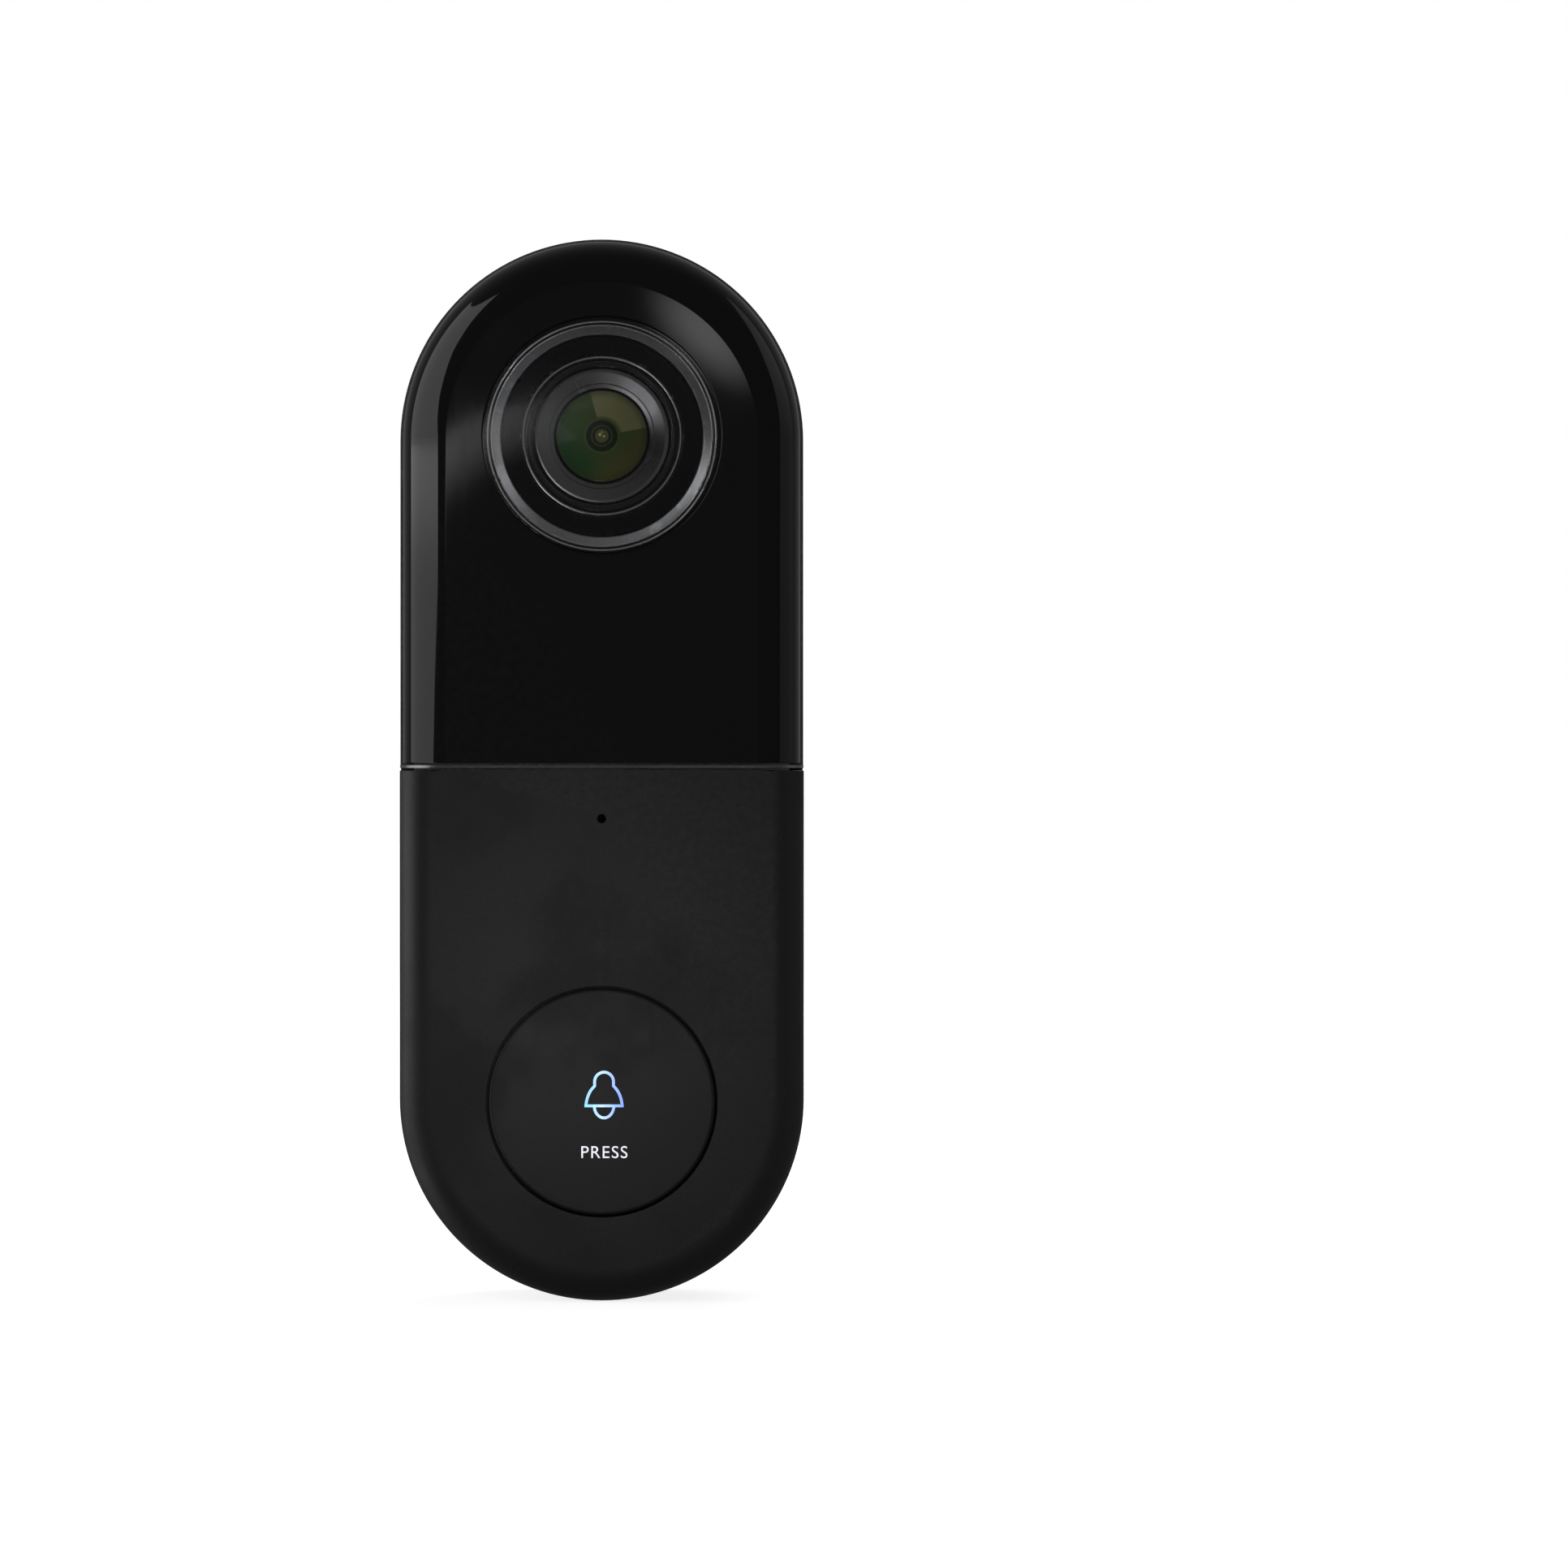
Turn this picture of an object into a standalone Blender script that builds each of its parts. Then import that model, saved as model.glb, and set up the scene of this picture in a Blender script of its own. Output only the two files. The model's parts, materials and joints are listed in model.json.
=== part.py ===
"""Battery video doorbell with its wall bracket.

The front faces -Y, the wall is the plane Y = 0 and +Z is up. The origin is the centre of the
bracket's back face. Sizes below are in millimetres and become metres as each mesh is made.
"""

import math

import bmesh
import bpy

MM = 0.001

# Outline of the body, seen from the front: a capsule
BODY_RADIUS = 27.0
END_CENTRE = 44.0
ARC_STEPS = 24
SHARP_ANGLE = math.radians(35.0)
GAP = 0.3

# Depths, from the wall to the front
PLATE_FRONT = -2.5
HOUSING_BACK = -3.0
HOUSING_FLOOR = -4.8
HOUSING_FRONT = -21.0
COVER_BACK = HOUSING_FRONT - GAP
RIM_FRONT = COVER_BACK - 2.2
FASCIA_BACK = RIM_FRONT - GAP
FACE = -31.0
FACE_WALL = 1.8
FACE_INSIDE = FACE + FACE_WALL

# Walls of the housing, the cover and the fascia
HOUSING_INNER = 25.0
COVER_INNER = 25.2
FASCIA_RADIUS = 26.55
FASCIA_INNER = FASCIA_RADIUS - FACE_WALL
COVER_EDGE = 4.2
FASCIA_EDGE = 5.5
EDGE_STEPS = 5
HOUSING_EDGE = 1.5
SEAM_GAP = 0.15
RIM_BAR = 0.35

# Case screws, from the back through the housing into posts on the front shells
CASE_SCREW_X = 16.0
CASE_SCREW_Z = 56.5
POST_RADIUS = 2.4
BOSS_FRONT = -9.5

# Camera
CAMERA_Z = 44.4
WINDOW_RADIUS = 15.65
WINDOW = (FACE, -30.2)
BEZEL_OUTER = 15.6
BEZEL_INNER = 13.5
BEZEL_FRONT = WINDOW[1] + GAP
LENS_RADIUS = 6.05
CAMERA_STEPS = 40
LED_COUNT = 6
LED_CIRCLE = 11.75
CAMERA_BOARD = (-11.5, -10.3)
CAMERA_BOARD_HALF = 13.0
CAMERA_SCREW_X = 10.5
CAMERA_SCREW_Z = CAMERA_Z + 10.0
FILTER_SLOT = (-16.2, -15.2)

# Push button
BUTTON_Z = -44.3
BUTTON_RADIUS = 15.05
BUTTON_HOLE = 15.4
BUTTON_FRONT = -31.25
FLANGE_RADIUS = 16.2
FLANGE = (-28.7, -27.9)
GUIDE_RADIUS = 4.5
SWITCH_FRONT = -28.0
MICROPHONE_Z = -6.6

# Boards and battery
MAIN_BOARD = (-26.5, -25.3)
CELL_RADIUS = 9.15
CELL_X = 9.35
CELL_Y = -15.0
CELL_Z = (-50.5, 14.5)

# Wall bracket
PLATE_RADIUS = 26.2
HOOK_X = 12.0
HOOK_Z = 30.0
LIFT = 8.0
LOCK_Y = -5.6
WALL_SLOT_WIDTH = 4.0
WALL_SLOT_LENGTH = 8.0
WALL_SLOT_Z = 50.0

# Charging port, on the right side
PORT_Y = -13.6
PORT_Z = 24.5
KEY_Z = 33.0
POCKET_FLOOR = 25.5
FLAP_X = (25.8, 27.0)
FLAP_Y = (-17.1, -10.1)
FLAP_TOP = 37.7
HINGE_X = 26.4
HINGE_Z = 18.2

# Speaker, on the left side
SPEAKER_Y = -12.6
SPEAKER_Z = 25.0
SPEAKER_RADIUS = 7.5

# Colour, roughness and metallic value of each finish
FINISHES = {
    "matte_black": ((0.022, 0.022, 0.023), 0.62, 0.0),
    "gloss_black": ((0.004, 0.004, 0.005), 0.06, 0.0),
    "satin_metal": ((0.16, 0.16, 0.17), 0.42, 1.0),
    "rim_metal": ((0.34, 0.34, 0.36), 0.3, 1.0),
    "smoked": ((0.006, 0.006, 0.007), 0.12, 0.0),
    "glass": ((0.05, 0.09, 0.04), 0.04, 0.0),
    "light_guide": ((0.55, 0.7, 0.95), 0.35, 0.0),
    "silicone": ((0.03, 0.03, 0.032), 0.7, 0.0),
    "board": ((0.01, 0.08, 0.04), 0.5, 0.0),
    "amber": ((0.5, 0.24, 0.05), 0.45, 0.0),
    "sleeve": ((0.05, 0.16, 0.3), 0.4, 0.0),
    "steel": ((0.55, 0.55, 0.56), 0.32, 1.0),
    "inner_black": ((0.015, 0.015, 0.016), 0.5, 0.0),
    "clear": ((0.75, 0.78, 0.8), 0.1, 0.0),
}


# ---------------------------------------------------------------- building helpers


def clear_scene():
    for piece in list(bpy.data.objects):
        bpy.data.objects.remove(piece, do_unlink=True)


def finished(name, finish):
    """A material of the piece's own, with the colour and shine of its finish."""
    colour, roughness, metallic = FINISHES[finish]
    material = bpy.data.materials.new(name)
    material.use_nodes = True
    shader = material.node_tree.nodes["Principled BSDF"]
    shader.inputs["Base Color"].default_value = (*colour, 1.0)
    shader.inputs["Roughness"].default_value = roughness
    shader.inputs["Metallic"].default_value = metallic
    return material


def solid(name, verts, faces, finish, origin=(0.0, 0.0, 0.0)):
    """A closed piece from points in millimetres, with its origin at the given point."""
    mesh = bpy.data.meshes.new(name)
    local = [[(value - start) * MM for value, start in zip(vert, origin)] for vert in verts]
    mesh.from_pydata(local, [], faces)
    work = bmesh.new()
    work.from_mesh(mesh)
    bmesh.ops.recalc_face_normals(work, faces=work.faces)
    work.to_mesh(mesh)
    work.free()
    mesh.shade_smooth()
    mesh.set_sharp_from_angle(angle=SHARP_ANGLE)
    if finish:
        mesh.materials.append(finished(name, finish))
    piece = bpy.data.objects.new(name, mesh)
    piece.location = [value * MM for value in origin]
    bpy.context.scene.collection.objects.link(piece)
    return piece


def place(axis, centre, across, up, along):
    """A point given across, up and along an axis that passes through the centre."""
    x, y, z = centre
    if axis == "X":
        return (x + along, y + across, z + up)
    if axis == "Y":
        return (x + across, y + along, z + up)
    return (x + across, y + up, z + along)


def skin(loops):
    """Points and faces of a solid from rings of equally many points, closed at both ends."""
    count = len(loops[0])
    verts = [point for loop in loops for point in loop]
    faces = [list(range(count)), list(range(len(verts) - count, len(verts)))]
    for start in range(0, len(verts) - count, count):
        for i in range(count):
            j = (i + 1) % count
            faces.append((start + i, start + j, start + count + j, start + count + i))
    return verts, faces


def extruded(name, outline, span, finish, axis="Y", centre=(0, 0, 0), origin=(0, 0, 0)):
    """A flat outline pulled along an axis over the given span."""
    loops = [[place(axis, centre, a, b, depth) for a, b in outline] for depth in span]
    return solid(name, *skin(loops), finish, origin)


def block(name, low, high, finish, origin=(0, 0, 0)):
    """A box between two corners."""
    outline = [(low[0], low[2]), (high[0], low[2]), (high[0], high[2]), (low[0], high[2])]
    return extruded(name, outline, (low[1], high[1]), finish, origin=origin)


def turned(name, outline, finish, centre, axis="Y", steps=CAMERA_STEPS, origin=(0, 0, 0)):
    """An outline of (radius, along) points turned round an axis. Its ends may lie on the axis."""
    verts, rings = [], []
    for radius, along in outline:
        count = steps if radius > 0 else 1
        rings.append([len(verts) + i for i in range(count)])
        for i in range(count):
            angle = 2 * math.pi * i / steps
            across, up = radius * math.cos(angle), radius * math.sin(angle)
            verts.append(place(axis, centre, across, up, along))
    pairs = list(zip(rings, rings[1:]))
    if outline[0][0] > 0:
        pairs.append((rings[-1], rings[0]))
    faces = []
    for low, high in pairs:
        for i in range(steps):
            j = (i + 1) % steps
            corners = (low[i % len(low)], low[j % len(low)], high[j % len(high)], high[i % len(high)])
            faces.append(list(dict.fromkeys(corners)))
    return solid(name, verts, faces, finish, origin)


def rod(name, radius, span, finish, centre, axis="Y", steps=20, origin=(0, 0, 0)):
    """A plain round bar."""
    outline = [(0, span[0]), (radius, span[0]), (radius, span[1]), (0, span[1])]
    return turned(name, outline, finish, centre, axis, steps, origin)


def ring(name, inner, outer, span, finish, centre, axis="Y", steps=CAMERA_STEPS):
    """A flat ring."""
    outline = [(inner, span[0]), (outer, span[0]), (outer, span[1]), (inner, span[1])]
    return turned(name, outline, finish, centre, axis, steps)


def combine(piece, tool, operation):
    """Applies a helper solid to a piece with a Boolean; the helper isn't part of the model."""
    tool.hide_render = True
    tool.display_type = "WIRE"
    step = piece.modifiers.new(tool.name, "BOOLEAN")
    step.operation = operation
    step.solver = "EXACT"
    step.object = tool


def cut(piece, *tools):
    for tool in tools:
        combine(piece, tool, "DIFFERENCE")


def add(piece, *tools):
    for tool in tools:
        combine(piece, tool, "UNION")


def capsule(radius):
    """The whole body's outline at a radius, as (x, z) points."""
    upper = half_capsule(radius, END_CENTRE, None)
    lower = half_capsule(radius, -END_CENTRE, None)
    return upper + lower[::-1]


def half_capsule(radius, centre, seam):
    """One round end, with straight sides down to the seam if one is given."""
    side = 1 if centre > 0 else -1
    points = []
    for i in range(ARC_STEPS + 1):
        angle = math.pi * i / ARC_STEPS
        points.append((radius * math.cos(angle), centre + side * radius * math.sin(angle)))
    if seam is not None:
        points = [(radius, seam), *points, (-radius, seam)]
    return points


def rounded_edge(edge, face):
    """(inset, depth) steps of an edge rounded towards the front face."""
    steps = []
    for i in range(EDGE_STEPS + 1):
        angle = 0.5 * math.pi * i / EDGE_STEPS
        steps.append((edge * (1 - math.cos(angle)), face + edge * (1 - math.sin(angle))))
    return steps


def front_shell(name, radius, centre, seam, back, edge, finish):
    """A solid front shell for one half of the body, with its front edge rounded."""
    layers = [(0.0, back), *rounded_edge(edge, FACE)]
    loops = []
    for inset, depth in layers:
        outline = half_capsule(radius - inset, centre, seam)
        loops.append([(x, depth, z) for x, z in outline])
    return solid(name, *skin(loops), finish)


def slot_outline(width, length, centre_x, centre_z, steps=8):
    """An upright slot with round ends, as (x, z) points."""
    points = []
    for side in (1, -1):
        for i in range(steps + 1):
            angle = math.pi * i / steps
            x = side * math.cos(angle) * width / 2
            z = side * (math.sin(angle) * width / 2 + (length - width) / 2)
            points.append((centre_x + x, centre_z + z))
    return points


# ---------------------------------------------------------------- case


def make_wall_bracket():
    """Flat plate on the wall with two T-hooks, a lower lip and two slots for wall screws."""
    loops = []
    for inset, depth in ((0.0, 0.0), (0.0, PLATE_FRONT + 0.5), (0.5, PLATE_FRONT)):
        loops.append([(x, depth, z) for x, z in capsule(PLATE_RADIUS - inset)])
    plate = solid("wall_bracket", *skin(loops), "matte_black")
    for side in (-1, 1):
        x = side * HOOK_X
        neck = block(f"hook_neck_{side}", (x - 2, -5.6, HOOK_Z - 1.5), (x + 2, -2, HOOK_Z + 1.5), None)
        head = block(f"hook_head_{side}", (x - 3.5, -6.4, HOOK_Z - 2.5), (x + 3.5, -5.2, HOOK_Z + 2.5), None)
        add(plate, neck, head)
        slot = slot_outline(WALL_SLOT_WIDTH, WALL_SLOT_LENGTH, 0.0, side * WALL_SLOT_Z)
        cut(plate, extruded(f"wall_slot_{side}", slot, (PLATE_FRONT - 1, 1), None))
    add(plate, block("lip", (-5, -8.2, -69.6), (5, -2, -68.2), None))
    cut(plate, rod("lip_hole", 1.4, (-72, -67), None, (0, LOCK_Y, 0), "Z"))
    return plate


def make_lock_screw():
    """Screw through the bracket's lip into the bottom of the housing."""
    outline = [(0, -70.9), (2.0, -70.9), (2.0, -69.9), (1.0, -69.9), (1.0, -62.5), (0, -62.5)]
    return turned("lock_screw", outline, "steel", (0, LOCK_Y, 0), "Z", 20)


def make_rear_housing():
    """Tub that holds the battery and the boards, with its bosses, pockets and side openings."""
    layers = [(inset, HOUSING_BACK - (depth - FACE)) for inset, depth in rounded_edge(HOUSING_EDGE, FACE)]
    layers = [*layers[::-1], (0.0, HOUSING_FRONT)]
    inside = BODY_RADIUS - HOUSING_INNER
    layers += [(inside, HOUSING_FRONT), (inside, HOUSING_FLOOR)]
    loops = [[(x, depth, z) for x, z in capsule(BODY_RADIUS - inset)] for inset, depth in layers]
    housing = solid("rear_housing", *skin(loops), "matte_black")
    root = HOUSING_FLOOR + 0.5
    for side in (-1, 1):
        x = side * HOOK_X
        add(housing, block(f"hook_boss_{side}", (x - 5.6, -8.5, 17.4), (x + 5.6, root, 34.5), None))
        x = side * CAMERA_SCREW_X
        centre = (x, 0, CAMERA_SCREW_Z)
        add(housing, rod(f"camera_boss_{side}", 2.2, (-10.0, root), None, centre, steps=16))
        cut(housing, rod(f"camera_boss_hole_{side}", 1.2, (-11.0, -6.5), None, centre, steps=12))
        for end in (-1, 1):
            centre = (side * CASE_SCREW_X, 0, end * CASE_SCREW_Z)
            mark = f"{side}_{end}"
            add(housing, rod(f"case_boss_{mark}", 3.7, (BOSS_FRONT, root), None, centre, steps=20))
            cut(housing, rod(f"case_bore_{mark}", 2.7, (-6.5, -2), None, centre, steps=20))
            cut(housing, rod(f"case_hole_{mark}", 1.6, (BOSS_FRONT - 1, -6), None, centre, steps=16))
    add(housing, block("lock_boss", (-7, -10.5, -69.8), (7, root, -60.5), None))
    cut(housing, block("lip_notch", (-5.4, -8.6, -73), (5.4, -2, -67.9), None))
    cut(housing, rod("lock_hole", 1.4, (-69, -61.8), None, (0, LOCK_Y, 0), "Z"))
    cut_keyholes(housing)
    cut_port(housing)
    cut_grille(housing)
    return housing


def cut_keyholes(housing):
    """The hooks' way in, the narrow slot above it and the room for the hooks' heads."""
    entry = HOOK_Z - LIFT
    for side in (-1, 1):
        x = side * HOOK_X
        room = block(f"hook_room_{side}", (x - 4.1, -7.0, entry - 3.1), (x + 4.1, -4.6, HOOK_Z + 3), None)
        way_in = block(f"hook_entry_{side}", (x - 4.1, -5, entry - 3.1), (x + 4.1, -2, entry + 3.1), None)
        slot = block(f"hook_slot_{side}", (x - 2.4, -5, entry), (x + 2.4, -2, HOOK_Z + 1.9), None)
        cut(housing, room, way_in, slot)


def cut_port(housing):
    """A thicker wall behind the flap, the flap's pocket, the port's opening and the key's hole."""
    add(housing, block("port_pad", (24.0, -18.0, 16.0), (26.0, -9.2, 39.2), None))
    pocket = block(
        "flap_pocket",
        (POCKET_FLOOR, FLAP_Y[0] - GAP, HINGE_Z - 0.6 - GAP),
        (28.0, FLAP_Y[1] + GAP, FLAP_TOP + GAP),
        None,
    )
    opening = block(
        "port_opening", (23.0, PORT_Y - 1.9, PORT_Z - 4.9), (26.0, PORT_Y + 1.9, PORT_Z + 4.9), None
    )
    cut(housing, pocket, opening)
    cut(housing, rod("key_hole", 1.4, (23.0, 26.0), None, (0, PORT_Y, KEY_Z), "X", 14))


def cut_grille(housing):
    """Round holes in rings in front of the speaker."""
    for count, radius in ((1, 0.0), (6, 2.2), (12, 4.4)):
        for i in range(count):
            angle = 2 * math.pi * i / count
            y = SPEAKER_Y + radius * math.cos(angle)
            z = SPEAKER_Z + radius * math.sin(angle)
            cut(housing, rod(f"grille_{count}_{i}", 0.55, (-28, -24), None, (0, y, z), "X", 8))


def make_screw_posts(shell, end):
    """Two posts behind a front shell that the case screws enter."""
    for side in (-1, 1):
        centre = (side * CASE_SCREW_X, 0, end * CASE_SCREW_Z)
        mark = f"{side}_{end}"
        span = (FACE_INSIDE - 0.4, BOSS_FRONT - GAP)
        add(shell, rod(f"post_{mark}", POST_RADIUS, span, None, centre, steps=16))
        cut(shell, rod(f"post_hole_{mark}", 1.5, (-22, -9), None, centre, steps=12))


def make_lower_cover():
    """Matte front half, with the button's and the microphone's openings."""
    seam = -SEAM_GAP
    cover = front_shell("lower_cover", BODY_RADIUS, -END_CENTRE, seam, COVER_BACK, COVER_EDGE, "matte_black")
    cavity = half_capsule(COVER_INNER, -END_CENTRE, 5.0)
    cut(cover, extruded("cover_cavity", cavity, (FACE_INSIDE, COVER_BACK + 2), None))
    through = (FACE - 1, FACE_INSIDE + 1)
    cut(cover, rod("button_opening", BUTTON_HOLE, through, None, (0, 0, BUTTON_Z), steps=CAMERA_STEPS))
    cut(cover, rod("microphone_hole", 0.55, through, None, (0, 0, MICROPHONE_Z), steps=12))
    make_screw_posts(cover, -1)
    return cover


def make_upper_fascia():
    """Gloss front half, with the camera's opening."""
    seam = SEAM_GAP + RIM_BAR + GAP
    size = (FASCIA_RADIUS, END_CENTRE, seam, FASCIA_BACK, FASCIA_EDGE)
    fascia = front_shell("upper_fascia", *size, "gloss_black")
    cavity = half_capsule(FASCIA_INNER, END_CENTRE, -5.0)
    cut(fascia, extruded("fascia_cavity", cavity, (FACE_INSIDE, FASCIA_BACK + 2), None))
    centre = (0, 0, CAMERA_Z)
    opening = BEZEL_OUTER + 0.4
    cut(fascia, rod("camera_opening", opening, (FACE - 1, FACE_INSIDE + 1), None, centre, steps=CAMERA_STEPS))
    make_screw_posts(fascia, 1)
    return fascia


def make_fascia_rim():
    """Thin metal trim round the gloss half, with a bar across the body at the seam."""
    outer = half_capsule(BODY_RADIUS, END_CENTRE, 2 * SEAM_GAP)
    inner = half_capsule(COVER_INNER, END_CENTRE, 2 * SEAM_GAP)
    rim = extruded("fascia_rim", outer + inner[::-1], (COVER_BACK, RIM_FRONT), "rim_metal")
    half = BODY_RADIUS - 0.05
    profile = [(half, COVER_BACK - GAP)]
    profile += [(half - inset, depth) for inset, depth in rounded_edge(FASCIA_EDGE - 0.5, FACE + 0.05)]
    profile += [(-x, y) for x, y in profile[::-1]]
    leg, under = HOUSING_INNER, -27.5
    profile += [(-leg, COVER_BACK - GAP), (-leg, under), (leg, under), (leg, COVER_BACK - GAP)]
    add(rim, extruded("seam_bar", profile, (SEAM_GAP, SEAM_GAP + RIM_BAR), None, axis="Z"))
    return rim


def make_housing_gasket():
    """Silicone loop across the joint between the housing and the front shells."""
    loops = []
    for radius, depth in ((24.0, -20.4), (24.7, -20.4), (24.7, -21.6), (24.0, -21.6)):
        loops.append([(x, depth, z) for x, z in capsule(radius)])
    verts, faces = skin([*loops, loops[0]])
    count = len(loops[0])
    last = len(verts) - count
    faces = [[i % last for i in face] for face in faces[2:]]
    return solid("housing_gasket", verts[:last], faces, "silicone")


def make_case_screws():
    for i, (side, end) in enumerate(((-1, 1), (1, 1), (-1, -1), (1, -1)), 1):
        outline = [(0, -4.0), (2.4, -4.0), (2.4, -6.0), (1.2, -6.0), (1.2, -20.0), (0, -20.0)]
        centre = (side * CASE_SCREW_X, 0, end * CASE_SCREW_Z)
        turned(f"housing_screw_{i}", outline, "steel", centre, steps=16)


# ---------------------------------------------------------------- camera


def make_camera_front():
    """The clear window flush with the fascia, and the rings and lenses seen through it."""
    centre = (0, 0, CAMERA_Z)
    rod("camera_window", WINDOW_RADIUS, WINDOW, "clear", centre, steps=CAMERA_STEPS)
    outline = [
        (BEZEL_INNER, -25.3),
        (BEZEL_OUTER, -25.3),
        (BEZEL_OUTER, -27.7),
        (17.2, -27.7),
        (17.2, -28.9),
        (BEZEL_OUTER, -28.9),
        (BEZEL_OUTER, BEZEL_FRONT + 0.2),
        (BEZEL_OUTER - 0.2, BEZEL_FRONT),
        (BEZEL_INNER, BEZEL_FRONT + 0.3),
    ]
    turned("camera_bezel", outline, "satin_metal", centre)
    ring("ir_window", 10.95, 13.2, (-29.5, -28.6), "smoked", centre)
    ring("window_trim", 10.3, 10.65, (-29.75, -28.6), "satin_metal", centre)
    outline = [(9.25, -29.4), (10.0, -29.4), (10.0, -25.2), (13.2, -25.2), (13.2, -24.2), (9.25, -24.2)]
    turned("lens_shroud", outline, "gloss_black", centre)
    outline = [(8.95, -29.7), (8.95, -27.0), (6.35, -27.0), (6.35, -28.9), (6.95, -28.9), (8.6, -29.7)]
    turned("lens_hood", outline, "satin_metal", centre)
    outline = [(0, -29.7), (2.2, -29.6), (4.2, -29.3), (LENS_RADIUS, -28.8), (LENS_RADIUS, -27.6), (0, -27.6)]
    turned("front_lens", outline, "glass", centre, steps=28)
    ring("lens_barrel", 5.2, LENS_RADIUS, (-27.3, -17.5), "inner_black", centre, steps=24)
    outline = [(0, -25.2), (2.8, -24.9), (4.7, -24.2), (4.7, -23.4), (2.8, -22.7), (0, -22.4)]
    turned("inner_lens", outline, "glass", centre, steps=20)


def make_ir_lamps():
    """Ring board behind the dark window, with its lamps and the light sensor."""
    centre = (0, 0, CAMERA_Z)
    ring("ir_led_board", 10.3, 13.2, (-26.6, -25.6), "board", centre)
    for i in range(LED_COUNT):
        angle = 2 * math.pi * i / LED_COUNT
        middle = (LED_CIRCLE * math.cos(angle), 0, CAMERA_Z + LED_CIRCLE * math.sin(angle))
        outline = [(0, -26.9), (1.0, -26.9), (1.0, -27.8), (0.7, -28.15), (0, -28.3)]
        turned(f"ir_led_{i + 1}", outline, "clear", middle, steps=12)
    angle = math.pi / LED_COUNT
    x, z = LED_CIRCLE * math.cos(angle), CAMERA_Z + LED_CIRCLE * math.sin(angle)
    block("light_sensor", (x - 0.8, -27.7, z - 0.8), (x + 0.8, -26.9, z + 0.8), "clear")


def make_camera_module():
    """Lens holder, sliding infrared filter, sensor and board behind the lenses."""
    front, back = CAMERA_BOARD
    centre = (0, 0, CAMERA_Z)
    low, high = (-7.5, -22.0, CAMERA_Z - 7.5), (7.5, front - GAP, CAMERA_Z + 7.5)
    holder = block("lens_holder", low, high, "inner_black")
    bore = LENS_RADIUS + GAP
    outline = [(0, -23), (bore, -23), (bore, -17.2), (3.2, -17.2), (3.2, -13.0), (0, -13.0)]
    cut(holder, turned("lens_bore", outline, None, centre, steps=28))
    low, high = (-4, FILTER_SLOT[0], CAMERA_Z - 3.6), (9, FILTER_SLOT[1], CAMERA_Z + 3.6)
    cut(holder, block("filter_slot", low, high, None))
    cut(holder, block("sensor_room", (-3.9, -13.4, CAMERA_Z - 3.9), (3.9, front + 1, CAMERA_Z + 3.9), None))
    outline = [(-3.5, -3.3), (3.6, -3.3), (3.6, -1), (9.5, -1), (9.5, 1), (3.6, 1), (3.6, 3.3), (-3.5, 3.3)]
    middle = (FILTER_SLOT[0] + FILTER_SLOT[1]) / 2
    span = (middle - 0.2, middle + 0.2)
    extruded("ir_cut_filter", outline, span, "glass", centre=centre, origin=(0, middle, CAMERA_Z))
    block("filter_actuator", (8.2, -17.0, CAMERA_Z + 3.9), (12.6, front - GAP, CAMERA_Z + 8), "inner_black")
    block("image_sensor", (-3.4, -12.8, CAMERA_Z - 3.4), (3.4, front - GAP, CAMERA_Z + 3.4), "glass")
    half = CAMERA_BOARD_HALF
    board = block("camera_board", (-half, front, CAMERA_Z - half), (half, back, CAMERA_Z + half), "board")
    for i, side in enumerate((-1, 1), 1):
        middle = (side * CAMERA_SCREW_X, 0, CAMERA_SCREW_Z)
        cut(board, rod(f"board_hole_{i}", 1.2, (front - 1, back + 1), None, middle, steps=12))
        outline = [(0, -12.9), (1.5, -12.9), (1.5, -11.8), (0.8, -11.8), (0.8, -8.0), (0, -8.0)]
        turned(f"camera_screw_{i}", outline, "steel", middle, steps=12)


def make_camera_flex():
    """Flat cable from the camera's board down to the main board's top edge."""
    path = [(-10.9, 31.1), (-10.9, 27.5), (-12.4, 24.4), (-16.0, 21.6), (-22.4, 18.4), (-25.0, 16.4)]
    path.append((-25.9, 13.3))
    loops = []
    for y, z in path:
        loops.append([(-8, y - 0.15, z), (0, y - 0.15, z), (0, y + 0.15, z), (-8, y + 0.15, z)])
    solid("camera_flex", *skin(loops), "amber")


# ---------------------------------------------------------------- electronics and battery


def make_boards():
    """Main board with what is soldered to it."""
    front, back = MAIN_BOARD
    on_board = front - GAP
    block("main_board", (-20, front, -53.6), (20, back, 13.0), "board")
    block("shield_can", (-18, -28.6, -26), (-4, on_board, -5), "steel")
    block("microphone", (-1.7, -27.9, MICROPHONE_Z - 1.3), (1.7, on_board, MICROPHONE_Z + 1.3), "steel")
    ring("mic_gasket", 0.9, 2.2, (-28.9, -28.2), "silicone", (0, 0, MICROPHONE_Z), steps=16)
    block("indicator_led", (-1.4, -27.7, BUTTON_Z + 4.4), (1.4, on_board, BUTTON_Z + 6.0), "clear")
    low, high = (-3, SWITCH_FRONT, BUTTON_Z - 3), (3, on_board, BUTTON_Z + 3)
    switch = block("tact_switch", low, high, "inner_black")
    cut(switch, rod("plunger_bore", 1.9, (SWITCH_FRONT - 1, -27.0), None, (0, 0, BUTTON_Z), steps=16))
    outline = []
    for radius, order in ((24.0, 1), (23.6, -1)):
        arc = [math.radians(50 + 80 * i / 12) for i in range(13)][::order]
        outline += [(radius * math.cos(a), END_CENTRE + radius * math.sin(a)) for a in arc]
    extruded("wifi_antenna", outline, (-28.0, -24.5), "amber")


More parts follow.
